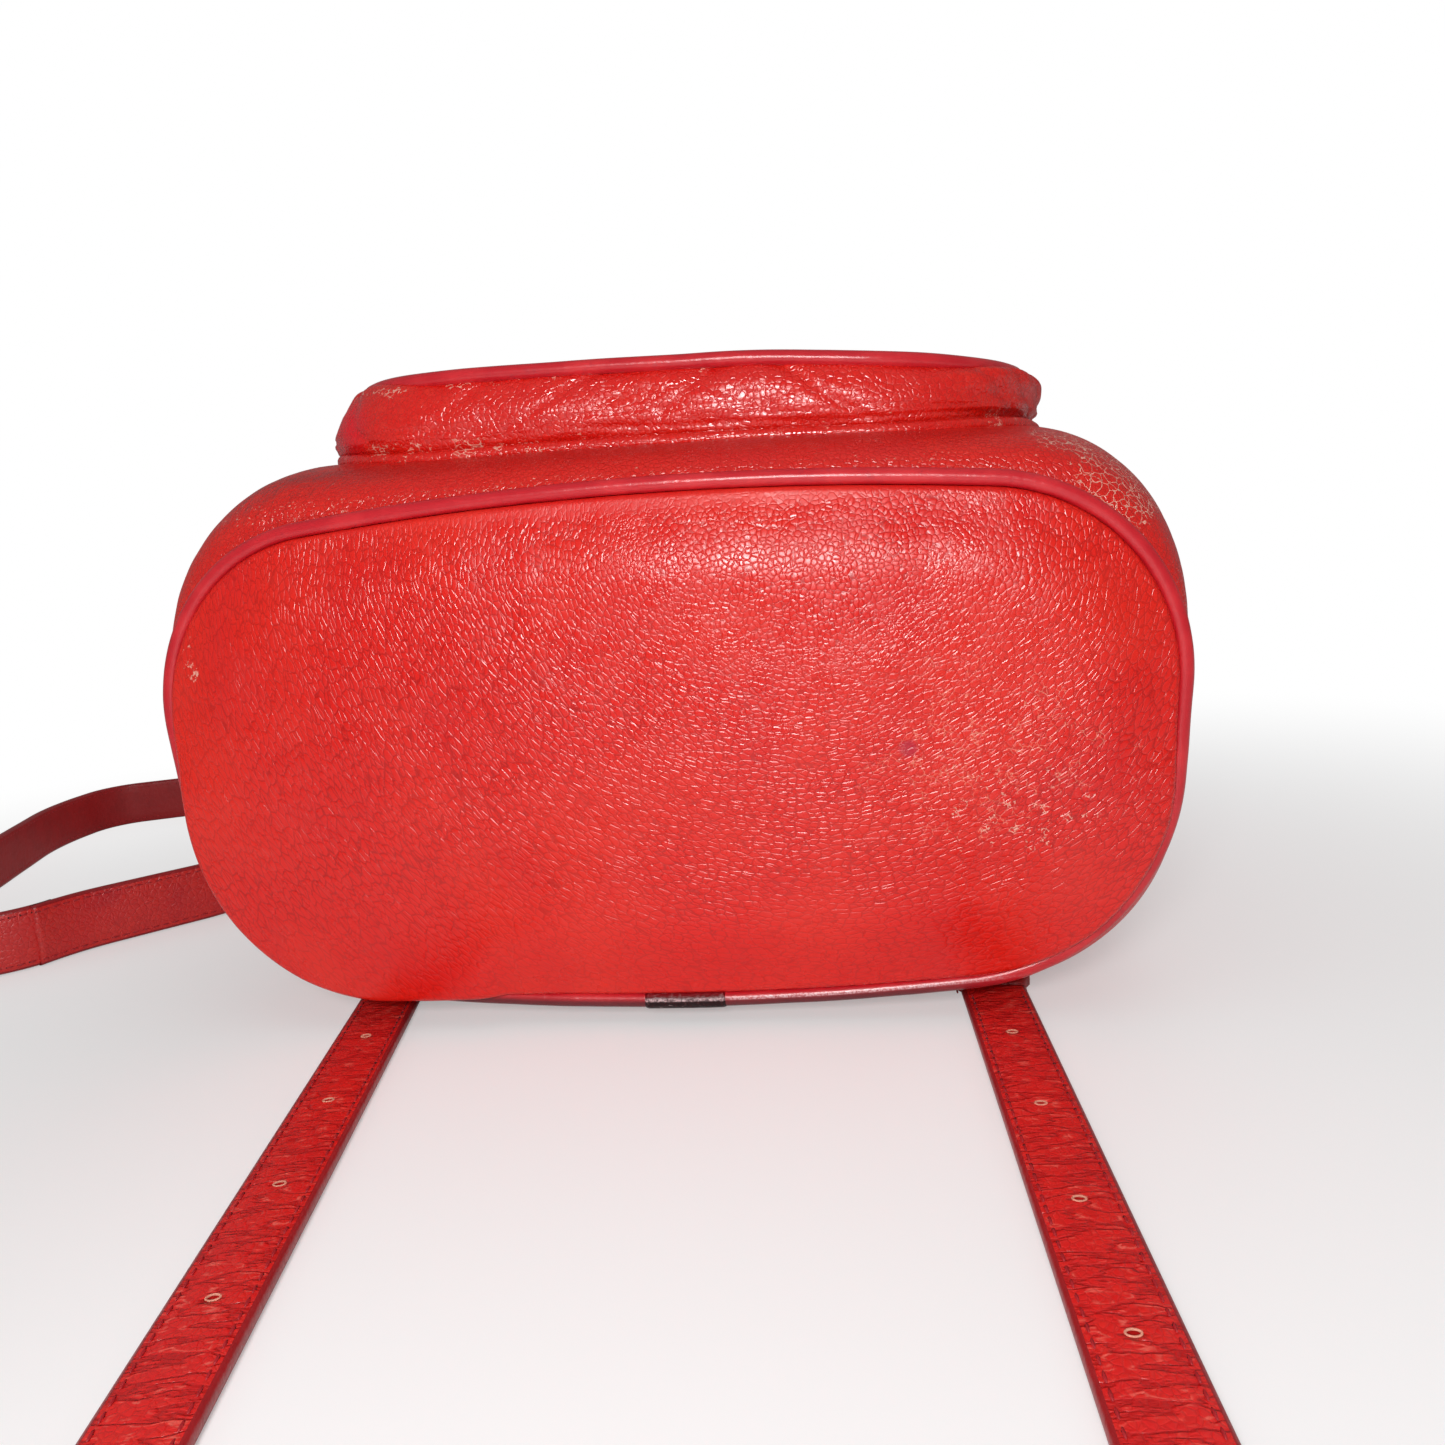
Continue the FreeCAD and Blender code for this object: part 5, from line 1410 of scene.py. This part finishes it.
def make_anchor():
    """Patch that holds the shoulder straps and the handle."""
    sewn_patch("strap_anchor_patch", "strap_anchor", np.zeros(2), np.array([0.0, 1.0]), ANCHOR_OUTLINE, 60)
    for y, half in ((225.5, 53.0), (259.5, 58.5)):
        stitch_patch((-half, y), (half, y), 50)
    for x in (-59.0, 59.0):
        stitch_patch((x, 233), (x, 257), 20)


def make_handle():
    """Flat arched strip at the anchor patch."""
    half, width, corner = 22.0, 9.0, 19.5
    top = HINGE_Y + 38.0 - width / 2
    bend_y = top - corner
    points = [(-half, HINGE_Y)]
    points += list(sweep_arc((-half + corner, bend_y), (-half, bend_y), (-half + corner, top), 16))
    points += list(sweep_arc((half - corner, bend_y), (half - corner, top), (half, bend_y), 16))
    points.append((half, HINGE_Y))
    line = resample(np.array(points), 70, closed=False)
    heading = unit(np.gradient(line, axis=0))
    middle = row(line[:, 0], line[:, 1], FLOOR + STRAP_T / 2)
    wide = row(-heading[:, 1], heading[:, 0], 0.0)
    frames = (middle, wide, np.broadcast_to(UP, middle.shape), None, run_along(line))
    run_strip("top_handle_leather", frames, width, "handle", "top_handle")


# Stitches

def make_stitch_tree():
    """Beads at even steps along seam lines, for thread stitches and for the painted shade of needle holes."""
    tree = bpy.data.node_groups.new("stitch row", "GeometryNodeTree")
    add = tree.interface.new_socket
    add("Seam", in_out="INPUT", socket_type="NodeSocketGeometry")
    for label, value in (("Pitch", 0.0033), ("Stitch length", 0.0024), ("Thread", 0.00042)):
        add(label, in_out="INPUT", socket_type="NodeSocketFloat").default_value = value
    add("Finish", in_out="INPUT", socket_type="NodeSocketMaterial")
    add("Stitches", in_out="OUTPUT", socket_type="NodeSocketGeometry")
    t = Tree(tree)
    given, out = t.node("NodeGroupInput"), t.node("NodeGroupOutput")
    curve = t.node("GeometryNodeMeshToCurve", {"Mesh": given.outputs["Seam"]})
    even = t.node("GeometryNodeResampleCurve", {"Curve": curve.outputs[0], "Length": given.outputs["Pitch"]},
                  mode="LENGTH")
    tangent = t.node("GeometryNodeInputTangent")
    aim = t.node("FunctionNodeAlignRotationToVector", {"Vector": tangent.outputs[0]}, axis="X")
    bead = t.node("GeometryNodeMeshUVSphere", {"Segments": 8, "Rings": 5, "Radius": 0.5})
    thread = given.outputs["Thread"]
    size = t.node("ShaderNodeCombineXYZ", {0: given.outputs["Stitch length"], 1: thread, 2: thread})
    vary = t.node("FunctionNodeRandomValue", {"Min": 0.9, "Max": 1.08, "Seed": 7}, data_type="FLOAT")
    laid = t.node("GeometryNodeInstanceOnPoints",
                  {"Points": even.outputs[0], "Instance": bead.outputs[0], "Rotation": aim.outputs[0],
                   "Scale": t.vector("SCALE", size.outputs[0], vary.outputs[1])})
    real = t.node("GeometryNodeRealizeInstances", {0: laid.outputs[0]})
    smooth = t.node("GeometryNodeSetShadeSmooth", {0: real.outputs[0]})
    finish = t.node("GeometryNodeSetMaterial", {0: smooth.outputs[0], "Material": given.outputs["Finish"]})
    t.feed(out.inputs[0], finish.outputs[0])
    return tree


def lay_stitches(body, lines, tree, name, length, thread, finish, sink):
    """Runs the stitch tree on one body's seam lines and keeps the result as a plain mesh."""
    values = {"Pitch": STITCH_PITCH * MM, "Stitch length": length * MM, "Thread": thread * MM,
              "Finish": finish}
    verts, edges = [], []
    for line, out in lines:
        start = len(verts)
        verts += ((line + out * sink) * MM).tolist()
        edges += [(start + i, start + i + 1) for i in range(len(line) - 1)]
    seam = bpy.data.meshes.new(name + "_seam")
    seam.from_pydata(verts, edges, [])
    holder = bpy.data.objects.new(name + "_seam", seam)
    bpy.context.scene.collection.objects.link(holder)
    rows = holder.modifiers.new("rows", "NODES")
    rows.node_group = tree
    for item in tree.interface.items_tree:
        if item.in_out == "INPUT" and item.name in values:
            rows[item.identifier] = values[item.name]
    depsgraph = bpy.context.evaluated_depsgraph_get()
    mesh = bpy.data.meshes.new_from_object(holder.evaluated_get(depsgraph))
    bpy.data.objects.remove(holder)
    piece = bpy.data.objects.new(name, mesh)
    bpy.context.scene.collection.objects.link(piece)
    if not mesh.materials:
        mesh.materials.append(finish)
    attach(piece, body)


def make_stitches():
    tree = make_stitch_tree()
    for body, lines in STITCH_LINES.items():
        lay_stitches(body, lines, tree, "stitches_" + body, 2.5, 0.6, THREAD, 0.02)
        # Needle holes, painted as dark shade, lie between the stitches, so their lines start half a stitch
        # later
        step, later = 0.8, 2
        shifted = []
        for line, out in lines:
            even = resample(line, max(int(run_along(line)[-1] / step), 4), closed=False)
            share, out_share = np.linspace(0, 1, len(even)), np.linspace(0, 1, len(out))
            ways = np.stack([np.interp(share, out_share, out[:, k]) for k in range(3)], 1)
            shifted.append((even[later:], ways[later:]))
        lay_stitches(body, shifted, tree, "needle_holes_" + body, 0.7, 0.7, NEEDLE_HOLE_SHADE, -0.12)


def dress_metal():
    """Gives the metal solids of the frame their finish."""
    for node in ("buckle_frame_left", "buckle_frame_right", "buckle_prong_left", "buckle_prong_right",
                 "body_magnet", "pocket_magnet"):
        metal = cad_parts[node].data
        metal.materials.clear()
        metal.materials.append(METAL)


make_base_panel()
make_board()
make_base_piping()
make_sleeve()
make_body()
make_binding()
make_gusset()
make_pocket_front()
make_pocket_piping()
make_pocket_flap()
make_main_flap()
make_strap("left", LEFT_ROUTE, LEFT_RADII, 1)
make_strap("right", RIGHT_ROUTE, RIGHT_RADII, -1)
for strap_end in STRAP_ENDS:
    make_tongue(*strap_end)
for strap_end in STRAP_ENDS:
    make_tab(*strap_end)
make_anchor()
make_handle()
make_stitches()
dress_metal()


# Floor, light and camera

def make_floor():
    """Pale floor that fades to white away from the bag."""
    pale = bpy.data.materials.new("pale floor")
    pale.use_nodes = True
    t = Tree(pale.node_tree)
    shader = t.tree.nodes["Principled BSDF"]
    shader.inputs["Base Color"].default_value = (0.9, 0.9, 0.9, 1.0)
    shader.inputs["Roughness"].default_value = 0.9
    white = t.node("ShaderNodeEmission", {"Color": (1.0, 1.0, 1.0, 1.0), "Strength": 1.0})
    place = t.node("ShaderNodeTexCoord").outputs["Object"]
    seen = t.node("ShaderNodeLightPath").outputs["Is Camera Ray"]
    share = t.times(seen, t.ramp(t.vector("LENGTH", place), 0.12, 0.62, 0.35, 1.0))
    both = t.node("ShaderNodeMixShader", {0: share, 1: shader.outputs[0], 2: white.outputs[0]})
    t.feed(t.tree.nodes["Material Output"].inputs["Surface"], both.outputs[0])
    bpy.ops.mesh.primitive_plane_add(size=8.0, location=(0, 0, (FLOOR - 0.3) * MM))
    floor = bpy.context.object
    floor.name = "floor"
    floor.data.materials.append(pale)


def make_world():
    """Soft light from all round, and white where the camera sees past the floor."""
    world = bpy.data.worlds.new("studio")
    bpy.context.scene.world = world
    world.use_nodes = True
    t = Tree(world.node_tree)
    lit = t.tree.nodes["Background"]
    lit.inputs["Color"].default_value = (1.0, 1.0, 1.0, 1.0)
    lit.inputs["Strength"].default_value = 0.20
    seen = t.node("ShaderNodeBackground", {"Color": (1.0, 1.0, 1.0, 1.0), "Strength": 1.0})
    ray = t.node("ShaderNodeLightPath").outputs
    direct = t.math("MAXIMUM", ray["Is Camera Ray"], ray["Is Transmission Ray"])
    blend = t.node("ShaderNodeMixShader", {0: direct, 1: lit.outputs[0], 2: seen.outputs[0]})
    t.feed(t.tree.nodes["World Output"].inputs["Surface"], blend.outputs[0])


def add_lamp(name, place, aim, size, power, glossy=True):
    data = bpy.data.lights.new(name, "AREA")
    data.shape = "SQUARE"
    data.size = size
    data.energy = power
    lamp = bpy.data.objects.new(name, data)
    lamp.location = place
    lamp.rotation_euler = (Vector(aim) - Vector(place)).to_track_quat("-Z", "Y").to_euler()
    lamp.visible_glossy = glossy
    bpy.context.scene.collection.objects.link(lamp)


def make_camera():
    """Camera at the photograph's own place, as its axes and its position in metres."""
    data = bpy.data.cameras.new("camera")
    data.lens = 27.03
    data.sensor_width = 36.0
    data.sensor_fit = "HORIZONTAL"
    data.clip_start = 0.01
    camera = bpy.data.objects.new("camera", data)
    right = Vector((0.98975296, 0.12533102, -0.06841938))
    up = Vector((0.04651965, 0.16999318, 0.98434661))
    forward = Vector((-0.13499999, 0.97744281, -0.1624209))
    turn = Matrix((right, up, -forward)).transposed().to_4x4()
    camera.matrix_world = Matrix.Translation((0.05604, -0.26657, 0.05163)) @ turn
    bpy.context.scene.collection.objects.link(camera)
    bpy.context.scene.camera = camera


make_floor()
make_world()
add_lamp("key", (0.018, -0.413, 0.160), (0.02, 0.0, 0.0), 0.10, 1.4)
add_lamp("top", (0.1, -0.2, 0.95), (0.0, 0.1, 0.0), 0.8, 1.4, glossy=False)
add_lamp("left", (-0.9, -0.4, 0.45), (0.0, 0.1, 0.0), 0.8, 0.9, glossy=False)
add_lamp("back", (0.35, 1.45, 0.75), (0.0, 0.25, 0.0), 0.9, 6.0, glossy=False)
add_lamp("right", (1.2, 0.35, 0.55), (0.0, 0.15, 0.0), 0.8, 1.3, glossy=False)
make_camera()
bpy.context.scene.view_settings.view_transform = "Standard"
